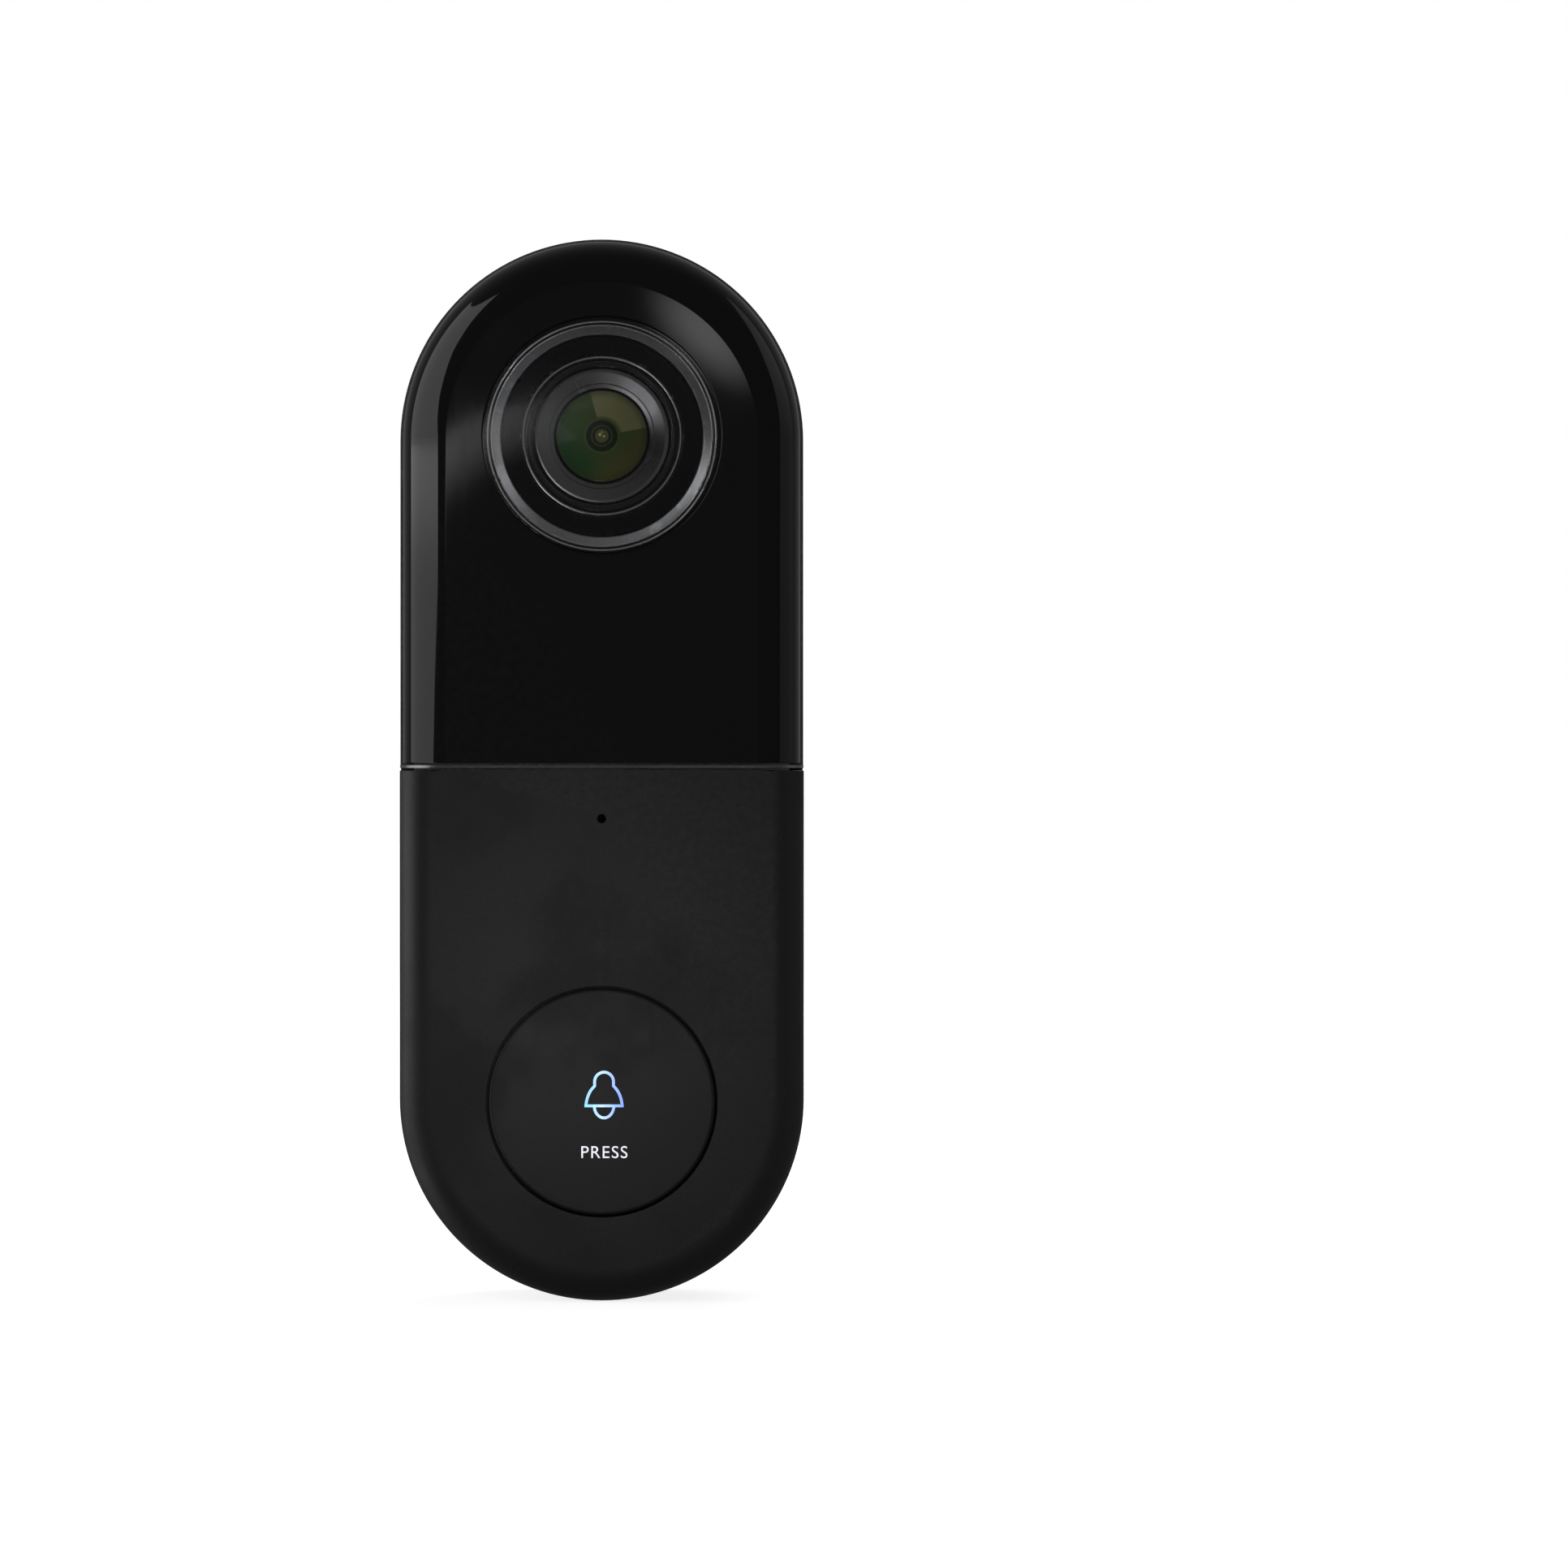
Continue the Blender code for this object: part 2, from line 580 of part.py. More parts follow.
def make_battery():
    """Two round cells side by side in a cradle, and the lead to the main board."""
    for i, side in enumerate((-1, 1), 1):
        rod(f"battery_cell_{i}", CELL_RADIUS, CELL_Z, "sleeve", (side * CELL_X, CELL_Y, 0), "Z", 28)
    bottom, top = CELL_Z[0] - 0.4, CELL_Z[1] + 0.4
    back, base, front = -5.1, -5.5, -20.0
    outline = [(back, bottom - 1.2), (back, top + 1.2), (front, top + 1.2), (front, top)]
    outline += [(base, top), (base, bottom), (front, bottom), (front, bottom - 1.2)]
    extruded("battery_holder", outline, (-18.0, 18.0), "inner_black", axis="X")
    lead = bpy.data.curves.new("battery_lead", "CURVE")
    lead.dimensions = "3D"
    lead.bevel_depth = 0.5 * MM
    lead.bevel_resolution = 2
    lead.use_fill_caps = True
    steps = 14
    line = lead.splines.new("POLY")
    line.points.add(steps)
    start, knee, end = (-16.0, 16.4), (-25.0, 24.0), (-25.9, 13.3)
    for i, point in enumerate(line.points):
        t = i / steps
        y, z = [(1 - t) ** 2 * a + 2 * t * (1 - t) * b + t * t * c for a, b, c in zip(start, knee, end)]
        point.co = (8.0 * MM, y * MM, z * MM, 1.0)
    lead.materials.append(finished("battery_lead", "silicone"))
    bpy.context.scene.collection.objects.link(bpy.data.objects.new("battery_lead", lead))


# ---------------------------------------------------------------- button


def make_button():
    """Round cap with its light guide, the seal round it and the switch plunger behind it."""
    centre = (0, 0, BUTTON_Z)
    origin = (0, BUTTON_FRONT, BUTTON_Z)
    inner = BUTTON_RADIUS - 1.2
    outline = [
        (GUIDE_RADIUS + GAP, BUTTON_FRONT),
        (BUTTON_RADIUS - 0.3, BUTTON_FRONT),
        (BUTTON_RADIUS, BUTTON_FRONT + 0.3),
        (BUTTON_RADIUS, FLANGE[0]),
        (FLANGE_RADIUS, FLANGE[0]),
        (FLANGE_RADIUS, FLANGE[1]),
        (inner, FLANGE[1]),
        (inner, BUTTON_FRONT + 1.5),
        (GUIDE_RADIUS + GAP, BUTTON_FRONT + 1.5),
    ]
    turned("button_cap", outline, "matte_black", centre, origin=origin)
    shelf, under = BUTTON_FRONT + 1.8, BUTTON_FRONT + 2.3
    outline = [(0, BUTTON_FRONT), (GUIDE_RADIUS, BUTTON_FRONT), (GUIDE_RADIUS, shelf)]
    outline += [(6.2, shelf), (6.2, under), (0, under)]
    turned("icon_light_guide", outline, "light_guide", centre, steps=24, origin=origin)
    ring("button_gasket", 16.5, 17.2, (-28.9, -27.5), "silicone", centre)
    rod("switch_plunger", 1.6, (-28.6, -27.6), "clear", centre, steps=16, origin=(0, -28.6, BUTTON_Z))


# ---------------------------------------------------------------- port and speaker


def make_port():
    """Charging port and reset key on a small board, behind a hinged flap."""
    block("usb_board", (13.6, -11.7, 17.0), (23.7, -10.7, 36.0), "board")
    port = block("usb_port", (17.6, -15.2, PORT_Z - 4.47), (24.9, -12.0, PORT_Z + 4.47), "steel")
    mouth = block("port_mouth", (18.6, -14.9, PORT_Z - 4.17), (26.0, -12.3, PORT_Z + 4.17), None)
    cut(port, mouth)
    add(port, block("port_tongue", (18.3, -13.95, PORT_Z - 3.3), (24.3, -13.25, PORT_Z + 3.3), None))
    switch = block("reset_switch", (19.5, -15.6, KEY_Z - 2.1), (23.5, -12.0, KEY_Z + 2.1), "inner_black")
    cut(switch, rod("key_bore", 1.3, (21.2, 24.5), None, (0, PORT_Y, KEY_Z), "X", 14))
    rod("reset_key", 1.0, (22.0, 25.2), "silicone", (0, PORT_Y, KEY_Z), "X", 14, (25.2, PORT_Y, KEY_Z))
    radius = (FLAP_X[1] - FLAP_X[0]) / 2
    outline = [(FLAP_X[1], FLAP_TOP), (FLAP_X[0], FLAP_TOP)]
    for i in range(9):
        angle = math.pi * (1 + i / 8)
        outline.append((HINGE_X + radius * math.cos(angle), HINGE_Z + radius * math.sin(angle)))
    origin = (HINGE_X, PORT_Y, HINGE_Z)
    loops = [[(x, depth, z) for x, z in outline] for depth in FLAP_Y]
    flap = solid("usb_cover", *skin(loops), "silicone", origin)
    plug = block("flap_plug", (25.2, PORT_Y - 1.5, PORT_Z - 4.4), (26.1, PORT_Y + 1.5, PORT_Z + 4.4), None)
    add(flap, plug)


def make_speaker():
    """Small speaker behind the grille: mesh, basket, cone and magnet, from the outside in."""
    centre = (0, SPEAKER_Y, SPEAKER_Z)
    rod("speaker_mesh", 6.8, (-24.7, -24.5), "steel", centre, "X", 24)
    outline = [(6.6, -24.2), (SPEAKER_RADIUS, -24.2), (SPEAKER_RADIUS, -20.0), (2.8, -20.0)]
    outline += [(2.8, -20.7), (6.6, -20.7)]
    turned("speaker_basket", outline, "inner_black", centre, "X", 28)
    outline = [(0, -23.0), (2.0, -22.6), (3.4, -22.6), (6.2, -23.6), (6.2, -23.3), (3.4, -22.3)]
    outline += [(2.2, -22.3), (2.2, -21.6), (1.9, -21.6), (1.9, -22.3), (0, -22.7)]
    turned("speaker_cone", outline, "inner_black", centre, "X", 24, (-22.6, SPEAKER_Y, SPEAKER_Z))
    rod("speaker_magnet", 4.2, (-19.7, -17.9), "steel", centre, "X", 24)


def main():
    clear_scene()
    make_wall_bracket()
    make_lock_screw()
    make_rear_housing()
    make_lower_cover()
    make_upper_fascia()
    make_fascia_rim()
    make_housing_gasket()
    make_case_screws()
    make_camera_front()
    make_ir_lamps()
    make_camera_module()
    make_camera_flex()
    make_boards()
    make_battery()
    make_button()
    make_port()
    make_speaker()


main()
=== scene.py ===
import json
import math

import bmesh
import bpy
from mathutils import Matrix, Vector

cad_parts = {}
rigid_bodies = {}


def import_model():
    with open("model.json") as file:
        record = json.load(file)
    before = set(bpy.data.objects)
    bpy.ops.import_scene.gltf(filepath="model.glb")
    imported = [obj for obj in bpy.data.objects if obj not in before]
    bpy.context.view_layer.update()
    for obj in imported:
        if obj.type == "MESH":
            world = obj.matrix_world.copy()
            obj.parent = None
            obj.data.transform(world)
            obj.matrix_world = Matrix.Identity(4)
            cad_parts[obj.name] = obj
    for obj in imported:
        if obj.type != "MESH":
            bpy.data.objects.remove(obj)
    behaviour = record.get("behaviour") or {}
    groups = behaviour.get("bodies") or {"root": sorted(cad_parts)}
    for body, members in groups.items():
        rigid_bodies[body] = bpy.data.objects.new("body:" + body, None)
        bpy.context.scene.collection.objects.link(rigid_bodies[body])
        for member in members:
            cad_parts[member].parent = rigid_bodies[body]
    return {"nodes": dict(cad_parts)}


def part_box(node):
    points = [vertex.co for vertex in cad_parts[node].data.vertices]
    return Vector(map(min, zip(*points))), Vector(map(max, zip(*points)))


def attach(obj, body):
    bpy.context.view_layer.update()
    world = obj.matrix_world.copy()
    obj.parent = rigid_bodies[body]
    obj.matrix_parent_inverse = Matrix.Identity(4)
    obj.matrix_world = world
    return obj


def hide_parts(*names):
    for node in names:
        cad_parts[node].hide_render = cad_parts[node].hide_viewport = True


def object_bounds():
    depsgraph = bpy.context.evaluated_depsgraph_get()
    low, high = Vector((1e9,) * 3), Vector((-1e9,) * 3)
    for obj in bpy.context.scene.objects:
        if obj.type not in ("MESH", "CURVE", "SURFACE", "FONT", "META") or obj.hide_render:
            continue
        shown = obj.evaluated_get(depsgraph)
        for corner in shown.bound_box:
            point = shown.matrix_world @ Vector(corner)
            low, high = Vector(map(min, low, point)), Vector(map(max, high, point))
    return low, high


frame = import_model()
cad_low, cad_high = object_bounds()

MM = 0.001

# ---------------------------------------------------------------- sizes, from the frame


def mm(*values):
    """A place, a span or a size given in millimetres."""
    return tuple(value * MM for value in values)


def low(node):
    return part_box(node)[0]


def high(node):
    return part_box(node)[1]


def middle(node):
    return [(a + b) / 2 for a, b in zip(low(node), high(node))]


BODY_RADIUS = high("rear_housing")[0]
END_CENTRE = high("rear_housing")[2] - BODY_RADIUS
FACE = low("upper_fascia")[1]
RIM_BACK = high("fascia_rim")[1]
RIM_SEAM = low("fascia_rim")[2]
COVER_SEAM = high("lower_cover")[2]
FASCIA_RADIUS = high("upper_fascia")[0]
FASCIA_BACK = RIM_BACK - 2.5 * MM
FASCIA_SEAM = low("upper_fascia")[2]
HOUSING_BACK = high("rear_housing")[1]
HOUSING_FRONT = low("rear_housing")[1]
CAMERA_Z = middle("camera_window")[2]
BUTTON_Z = middle("button_cap")[2]
CAMERA = (0, 0, CAMERA_Z)
BUTTON = (0, 0, BUTTON_Z)
LOCK_Y = middle("lock_screw")[1]
PORT_Y, PORT_Z = middle("usb_port")[1:]
KEY_Z = middle("reset_key")[2]
MICROPHONE_Z = middle("microphone")[2]
SPEAKER_Y, SPEAKER_Z = middle("speaker_basket")[1:]

# Walls and edges
WALL = 1.8 * MM
COVER_EDGE = 4.2 * MM
FASCIA_EDGE = 5.5 * MM
HOUSING_EDGE = 1.5 * MM
HOUSING_FLOOR = -4.8 * MM
HOUSING_WALL = 2.0 * MM

# Screws, hooks and the holes for them
POST_X, POST_Z = mm(16.0, 56.5)
POST_RADIUS, POST_HOLE = mm(2.4, 1.5)
BOSS_RADIUS, BOSS_BORE, BOSS_HOLE = mm(3.7, 2.7, 1.6)
CAMERA_POST_X, CAMERA_POST_RADIUS, CAMERA_POST_HOLE = mm(10.5, 2.2, 1.2)
HOOK_X, HOOK_Z, LIFT = mm(12.0, 30.0, 8.0)
SLOT_Z = 50.0 * MM
LOCK_HOLE = 1.4 * MM

# Fineness of round shapes
ARC_STEPS = 72
EDGE_STEPS = 14
FINE = 144
CORNER_STEPS = 5
QUARTER_STEPS = 6
ROUND_END_STEPS = 12
SHARP = math.radians(32)
HARD = math.radians(50.0)
MERGE = 0.002 * MM

# Reflecting cards and soft lamps
CARD_REACH = 0.9
CARD_STEPS = 6
MIRROR = 2.175
SKY_FRONT, SKY_BACK = 0.1, 0.22
FILL_POWER, NEAR_POWER = 1.35, 0.014


# ---------------------------------------------------------------- shader groups


def feed(tree, source, target):
    """Links a socket, or sets a constant."""
    if isinstance(source, bpy.types.NodeSocket):
        tree.links.new(source, target)
    else:
        target.default_value = source


def add_node(tree, kind, operation=None, **inputs):
    """A node with its inputs by name, or as in_0 and in_1; each is a socket or a constant."""
    made = tree.nodes.new(kind)
    if operation:
        made.operation = operation
    for name, source in inputs.items():
        key = int(name[3:]) if name.startswith("in_") else name.replace("_", " ")
        feed(tree, source, made.inputs[key])
    return made


def calc(tree, operation, first, second, clamp=False):
    """A Math node's result."""
    made = add_node(tree, "ShaderNodeMath", operation, in_0=first, in_1=second)
    made.use_clamp = clamp
    return made.outputs[0]


def times(tree, first, *others):
    for other in others:
        first = calc(tree, "MULTIPLY", first, other)
    return first


def ramp(tree, source, start, end, out_start=0.0, out_end=1.0):
    """A smooth rise of a value between two others."""
    made = add_node(tree, "ShaderNodeMapRange", Value=source, From_Min=start, From_Max=end)
    made.interpolation_type = "SMOOTHSTEP"
    feed(tree, out_start, made.inputs["To Min"])
    feed(tree, out_end, made.inputs["To Max"])
    return made.outputs["Result"]


def object_place(tree):
    return tree.nodes.new("ShaderNodeTexCoord").outputs["Object"]


def axes(tree, where):
    """The X, Y and Z of a place."""
    return add_node(tree, "ShaderNodeSeparateXYZ", Vector=where).outputs


def reach_from(tree, where, centre, kept=(1.0, 0.0, 1.0)):
    """Distance from a line through a centre; kept leaves out the axis that it runs along."""
    shift = add_node(tree, "ShaderNodeVectorMath", "SUBTRACT", in_0=where, in_1=centre)
    flat = add_node(tree, "ShaderNodeVectorMath", "MULTIPLY", in_0=shift.outputs[0], in_1=kept)
    return add_node(tree, "ShaderNodeVectorMath", "LENGTH", in_0=flat.outputs[0]).outputs["Value"]


def shader_group(name, inputs, outputs, fill):
    """A shader node group with float inputs and outputs; fill links what is inside it."""
    tree = bpy.data.node_groups.new(name, "ShaderNodeTree")
    for label, value in inputs.items():
        socket = tree.interface.new_socket(label, in_out="INPUT", socket_type="NodeSocketFloat")
        socket.default_value = value
    for label in outputs:
        tree.interface.new_socket(label, in_out="OUTPUT", socket_type="NodeSocketFloat")
    given = tree.nodes.new("NodeGroupInput").outputs
    leave = tree.nodes.new("NodeGroupOutput")
    for label, socket in fill(tree, given, object_place(tree)).items():
        tree.links.new(socket, leave.inputs[label])
    return tree


def noise(tree, where, scale, detail=2.0, roughness=0.5):
    made = add_node(
        tree, "ShaderNodeTexNoise", Vector=where, Scale=scale, Detail=detail, Roughness=roughness
    )
    return made.outputs["Fac"]


def cells(tree, where, scale, distance="EUCLIDEAN"):
    made = add_node(tree, "ShaderNodeTexVoronoi", Vector=where, Scale=scale)
    made.distance = distance
    return made.outputs


def fill_grain(tree, given, where):
    """Fine pitted texture of a spark-eroded mould or of blasted metal."""
    coarse = noise(tree, where, given["Scale"], 3.0, 0.6)
    pits = cells(tree, where, times(tree, given["Scale"], 2.7))["Distance"]
    pit = ramp(tree, pits, 0.05, 0.55)
    height = calc(tree, "ADD", times(tree, coarse, 0.6), times(tree, pit, 0.4))
    return {"Height": height, "Speckle": ramp(tree, height, 0.35, 0.75)}


def fill_marks(tree, given, where):
    """Broad uneven patches and faint wipe streaks, as on a handled surface."""
    patches = ramp(tree, noise(tree, where, given["Scale"], 4.0, 0.55), 0.38, 0.68)
    turn = (0.0, math.radians(24), 0.0)
    stretch = add_node(tree, "ShaderNodeMapping", Vector=where, Rotation=turn, Scale=(1.0, 1.0, 0.12))
    streak = noise(tree, stretch.outputs["Vector"], times(tree, given["Scale"], 9.0))
    streaks = times(tree, ramp(tree, streak, 0.62, 0.8), given["Streaks"])
    return {"Mask": calc(tree, "ADD", patches, streaks, clamp=True)}


def fill_edge_highlight(tree, given, where):
    """Painted highlight along outer edges, found by pointiness and broken up by noise."""
    edge = ramp(tree, tree.nodes.new("ShaderNodeNewGeometry").outputs["Pointiness"], 0.505, 0.56)
    broken = ramp(tree, noise(tree, where, 900.0, 3.0, 0.6), 0.35, 0.65)
    return {"Mask": calc(tree, "MULTIPLY", times(tree, edge, broken), given["Amount"], clamp=True)}


def fill_specks(tree, given, where):
    """Sparse small dust specks."""
    made = cells(tree, where, given["Scale"])
    dot = ramp(tree, made["Distance"], 0.1, 0.04)
    chance = add_node(tree, "ShaderNodeSeparateColor", Color=made["Color"]).outputs["Red"]
    return {"Mask": times(tree, dot, calc(tree, "LESS_THAN", chance, given["Share"]))}


def fill_traces(tree, given, where):
    """Copper tracks and pads under a solder mask."""
    pads = ramp(tree, cells(tree, where, given["Scale"], "MANHATTAN")["Distance"], 0.28, 0.22)
    across = times(tree, axes(tree, where)["X"], times(tree, given["Scale"], 6.0))
    tracks = calc(tree, "GREATER_THAN", calc(tree, "FRACT", across, 0.0), 0.55)
    zone = ramp(tree, noise(tree, where, given["Scale"], 1.0), 0.5, 0.52)
    return {"Pads": pads, "Tracks": times(tree, tracks, zone)}


GRAIN = shader_group("surface_grain", {"Scale": 5000.0}, ("Height", "Speckle"), fill_grain)
MARKS = shader_group("handling_marks", {"Scale": 40.0, "Streaks": 0.3}, ("Mask",), fill_marks)
# painted highlight on convex edges
EDGE_SHEEN_GROUP = shader_group("edge_polish", {"Amount": 1.0}, ("Mask",), fill_edge_highlight)
SPECKS = shader_group("dust_specks", {"Scale": 600.0, "Share": 0.06}, ("Mask",), fill_specks)
TRACES = shader_group("copper_tracks", {"Scale": 300.0}, ("Pads", "Tracks"), fill_traces)


# ---------------------------------------------------------------- materials


class Finish:
    """One material in the making: its tree, its Principled shader and short ways to vary them."""

    def __init__(self, name, colour, roughness, metallic=0.0, **constants):
        self.material = bpy.data.materials.new(name)
        self.material.use_nodes = True
        self.tree = self.material.node_tree
        self.inputs = self.tree.nodes["Principled BSDF"].inputs
        self.colour = (*colour, 1.0)
        constants |= {"Base_Color": self.colour, "Roughness": roughness, "Metallic": metallic}
        for label, value in constants.items():
            self.inputs[label.replace("_", " ")].default_value = value

    def use(self, group, **values):
        made = self.tree.nodes.new("ShaderNodeGroup")
        made.node_tree = group
        for label, value in values.items():
            made.inputs[label].default_value = value
        return made.outputs

    def tint(self, mask, other):
        """Mixes another colour in where the mask says; calls add up."""
        target = self.inputs["Base Color"]
        under = target.links[0].from_socket if target.is_linked else self.colour
        self.tree.links.new(mixed(self.tree, mask, under, (*other, 1.0)), target)

    def shine(self, mask, least, most):
        """Roughness from least to most along the mask."""
        self.tree.links.new(ramp(self.tree, mask, 0.0, 1.0, least, most), self.inputs["Roughness"])

    def relief(self, height, depth, strength=1.0):
        """Bump of a real depth in metres."""
        bump = add_node(self.tree, "ShaderNodeBump", Strength=strength, Distance=depth, Height=height)
        self.tree.links.new(bump.outputs["Normal"], self.inputs["Normal"])


def mixed(tree, mask, first, second):
    """One colour, and the other where the mask says."""
    made = tree.nodes.new("ShaderNodeMix")
    made.data_type = "RGBA"
    for label, source in (("Factor", mask), ("A", first), ("B", second)):
        feed(tree, source, made.inputs[label])
    return made.outputs["Result"]


def moulded_plastic(name, colour, roughness, grain_scale, depth, lighter=1.6):
    """Black moulded plastic with a fine grain, handling marks, a painted highlight on its edges and dust.
    """
    finish = Finish(name, colour, roughness, Specular_IOR_Level=0.28)
    grain = finish.use(GRAIN, Scale=grain_scale)
    marks = finish.use(MARKS, Scale=45.0, Streaks=0.35)
    edge_glint = finish.use(EDGE_SHEEN_GROUP, Amount=0.6)
    specks = finish.use(SPECKS, Scale=420.0, Share=0.03)
    finish.tint(grain["Speckle"], [c * lighter for c in colour])
    # lighter colour on outer edges: a painted edge highlight
    finish.tint(edge_glint["Mask"], [c * 2.2 for c in colour])
    finish.tint(specks["Mask"], [c * 2.6 + 0.008 for c in colour])
    finish.shine(marks["Mask"], roughness - 0.06, roughness + 0.06)
    finish.relief(grain["Height"], depth)
    return finish.material


def gloss_plastic():
    """Piano-black fascia: deep, mirror smooth, with faint polishing haze."""
    finish = Finish("gloss_black", (0.0035, 0.0035, 0.004), 0.035, IOR=1.5)
    marks = finish.use(MARKS, Scale=30.0, Streaks=0.5)
    specks = finish.use(SPECKS, Scale=260.0, Share=0.02)
    edge_glint = finish.use(EDGE_SHEEN_GROUP, Amount=0.4)
    finish.tint(marks["Mask"], (0.004, 0.004, 0.0044))
    finish.tint(specks["Mask"], (0.03, 0.03, 0.03))
    # lighter colour on outer edges: a painted edge highlight
    finish.tint(edge_glint["Mask"], (0.012, 0.012, 0.013))
    finish.shine(marks["Mask"], 0.03, 0.05)
    wave = noise(finish.tree, object_place(finish.tree), 60.0, 1.0)
    finish.relief(wave, 0.00002, 0.25)
    return finish.material


def dark_window():
    """Nearly black infrared window: smooth, with a faint violet haze and dust."""
    finish = Finish("smoked_window", (0.0008, 0.0007, 0.0012), 0.12, Specular_IOR_Level=0.06)
    marks = finish.use(MARKS, Scale=60.0, Streaks=0.3)
    specks = finish.use(SPECKS, Scale=500.0, Share=0.02)
    finish.tint(marks["Mask"], (0.0014, 0.0012, 0.002))
    finish.tint(specks["Mask"], (0.012, 0.012, 0.014))
    finish.shine(marks["Mask"], 0.1, 0.18)
    return finish.material


def blasted_metal(name, colour, roughness, depth, scale, highlight_gain=2.6):
    """Sandblasted metal with bright grains and a painted highlight on its edges."""
    finish = Finish(name, colour, roughness, 1.0)
    grain = finish.use(GRAIN, Scale=scale)
    marks = finish.use(MARKS, Scale=80.0, Streaks=0.2)
    edge_glint = finish.use(EDGE_SHEEN_GROUP, Amount=0.8)
    finish.tint(grain["Speckle"], [min(1.0, c * 1.7) for c in colour])
    # lighter colour on outer edges: a painted edge highlight
    finish.tint(edge_glint["Mask"], [min(1.0, c * highlight_gain) for c in colour])
    finish.shine(marks["Mask"], roughness - 0.05, roughness + 0.08)
    finish.relief(grain["Height"], depth)
    return finish.material


def clear_window():
    """Flat hard-coated window: it mirrors as glass does and shows the rest behind it."""
    finish = Finish("clear_window", (1.0, 1.0, 1.0), 0.02, 1.0)
    marks = finish.use(MARKS, Scale=35.0, Streaks=0.4)
    finish.tint(marks["Mask"], (0.93, 0.95, 1.0))
    finish.shine(marks["Mask"], 0.015, 0.05)
    tree = finish.tree
    mirror = add_node(tree, "ShaderNodeFresnel", IOR=1.5).outputs["Fac"]
    behind = tree.nodes.new("ShaderNodeNewGeometry").outputs["Backfacing"]
    tree.links.new(times(tree, mirror, calc(tree, "SUBTRACT", 1.0, behind)), finish.inputs["Alpha"])
    return finish.material


def coated_glass():
    """Green-coated glass with the stop and the inner rings painted at depth, painted shade to the lower
    left and towards the rim, painted light to the lower right, a painted reflection in a wedge and painted
    glints in the middle.
    """
    finish = Finish("lens_glass", (0.034, 0.062, 0.014), 0.03, Specular_IOR_Level=0.08)
    tree = finish.tree
    where = object_place(tree)
    across = axes(tree, where)["X"]
    up = calc(tree, "SUBTRACT", axes(tree, where)["Z"], CAMERA_Z)
    reach = reach_from(tree, where, CAMERA)
    turn = calc(tree, "ARCTAN2", up, across)
    light_lower_right = calc(tree, "SUBTRACT", across, up)
    shade_lower_left = calc(tree, "ADD", across, times(tree, up, 0.7))
    # darker green towards the lower left: painted shade
    finish.tint(ramp(tree, shade_lower_left, -0.5 * MM, -6.5 * MM), (0.012, 0.045, 0.013))
    # lighter olive towards the lower right: painted light
    finish.tint(ramp(tree, light_lower_right, 1.5 * MM, 8.0 * MM, 0.0, 0.8), (0.07, 0.056, 0.016))
    # a lighter wedge over the upper right, outside the middle: a painted reflection
    reflection_wedge = times(tree, ramp(tree, turn, 0.16, 0.22), ramp(tree, turn, 1.86, 1.8))
    finish.tint(times(tree, reflection_wedge, ramp(tree, reach, 2.2 * MM, 2.9 * MM, 0.0, 0.75)), (0.19, 0.18, 0.085))
    rings = (
        # this row darkens the lens towards its rim: painted shade; the rows below paint the stop and the
        # inner elements at depth
        (5.0, 6.0, 0.5, (0.02, 0.026, 0.008)),
        (2.5, 2.2, 0.6, (0.06, 0.075, 0.03)),
        (2.15, 2.05, 1.0, (0.008, 0.014, 0.004)),
        (1.5, 1.42, 1.0, (0.04, 0.05, 0.018)),
        (1.3, 1.22, 1.0, (0.012, 0.018, 0.006)),
        (0.95, 0.85, 1.0, (0.075, 0.08, 0.028)),
    )
    for none, full, amount, colour in rings:
        finish.tint(ramp(tree, reach, none * MM, full * MM, 0.0, amount), colour)
    # small bright spots in the middle: painted glints
    glint_spots = (
        (-0.25, 0.18, 0.26, (0.45, 0.42, 0.12)),
        (0.28, -0.05, 0.2, (0.4, 0.42, 0.16)),
        (0.02, 0.5, 0.14, (0.3, 0.34, 0.12)),
    )
    for x, z, size, colour in glint_spots:
        spot = reach_from(tree, where, (x * MM, 0.0, CAMERA_Z + z * MM))
        finish.tint(ramp(tree, spot, size * MM, size * 0.4 * MM), colour)
    finish.shine(finish.use(MARKS, Scale=200.0, Streaks=0.2)["Mask"], 0.02, 0.05)
    return finish.material


def lit_mark():
    """Glowing bell: pale in the middle, light blue on the left and violet blue on the right."""
    finish = Finish("lit_bell", (0.4, 0.6, 0.9), 0.4, Emission_Strength=1.0)
    tree = finish.tree
    where = object_place(tree)
    across = ramp(tree, axes(tree, where)["X"], -2.9 * MM, 2.9 * MM)
    colours = add_node(tree, "ShaderNodeValToRGB", Fac=across)
    stops = colours.color_ramp.elements
    stops[1].position = 1.0
    stops.new(0.5)
    for stop, colour in zip(stops, ((0.16, 0.52, 1.0), (0.5, 0.72, 1.0), (0.14, 0.22, 1.0))):
        stop.color = (*colour, 1.0)
    flicker = ramp(tree, noise(tree, where, 2500.0), 0.3, 0.7, 0.82, 1.0)
    dim = add_node(tree, "ShaderNodeVectorMath", "SCALE", in_0=colours.outputs["Color"], Scale=flicker)
    tree.links.new(dim.outputs["Vector"], finish.inputs["Emission Color"])
    return finish.material


# White print given an emission glow so it shows bright: a painted glow.
def lit_label():
    finish = Finish("lit_label", (0.7, 0.7, 0.75), 0.5, Emission_Strength=0.72)
    tree = finish.tree
    mottle = ramp(tree, noise(tree, object_place(tree), 2200.0), 0.3, 0.7)
    colour = mixed(tree, mottle, (0.6, 0.6, 0.68, 1.0), (0.95, 0.95, 1.0, 1.0))
    tree.links.new(colour, finish.inputs["Emission Color"])
    return finish.material


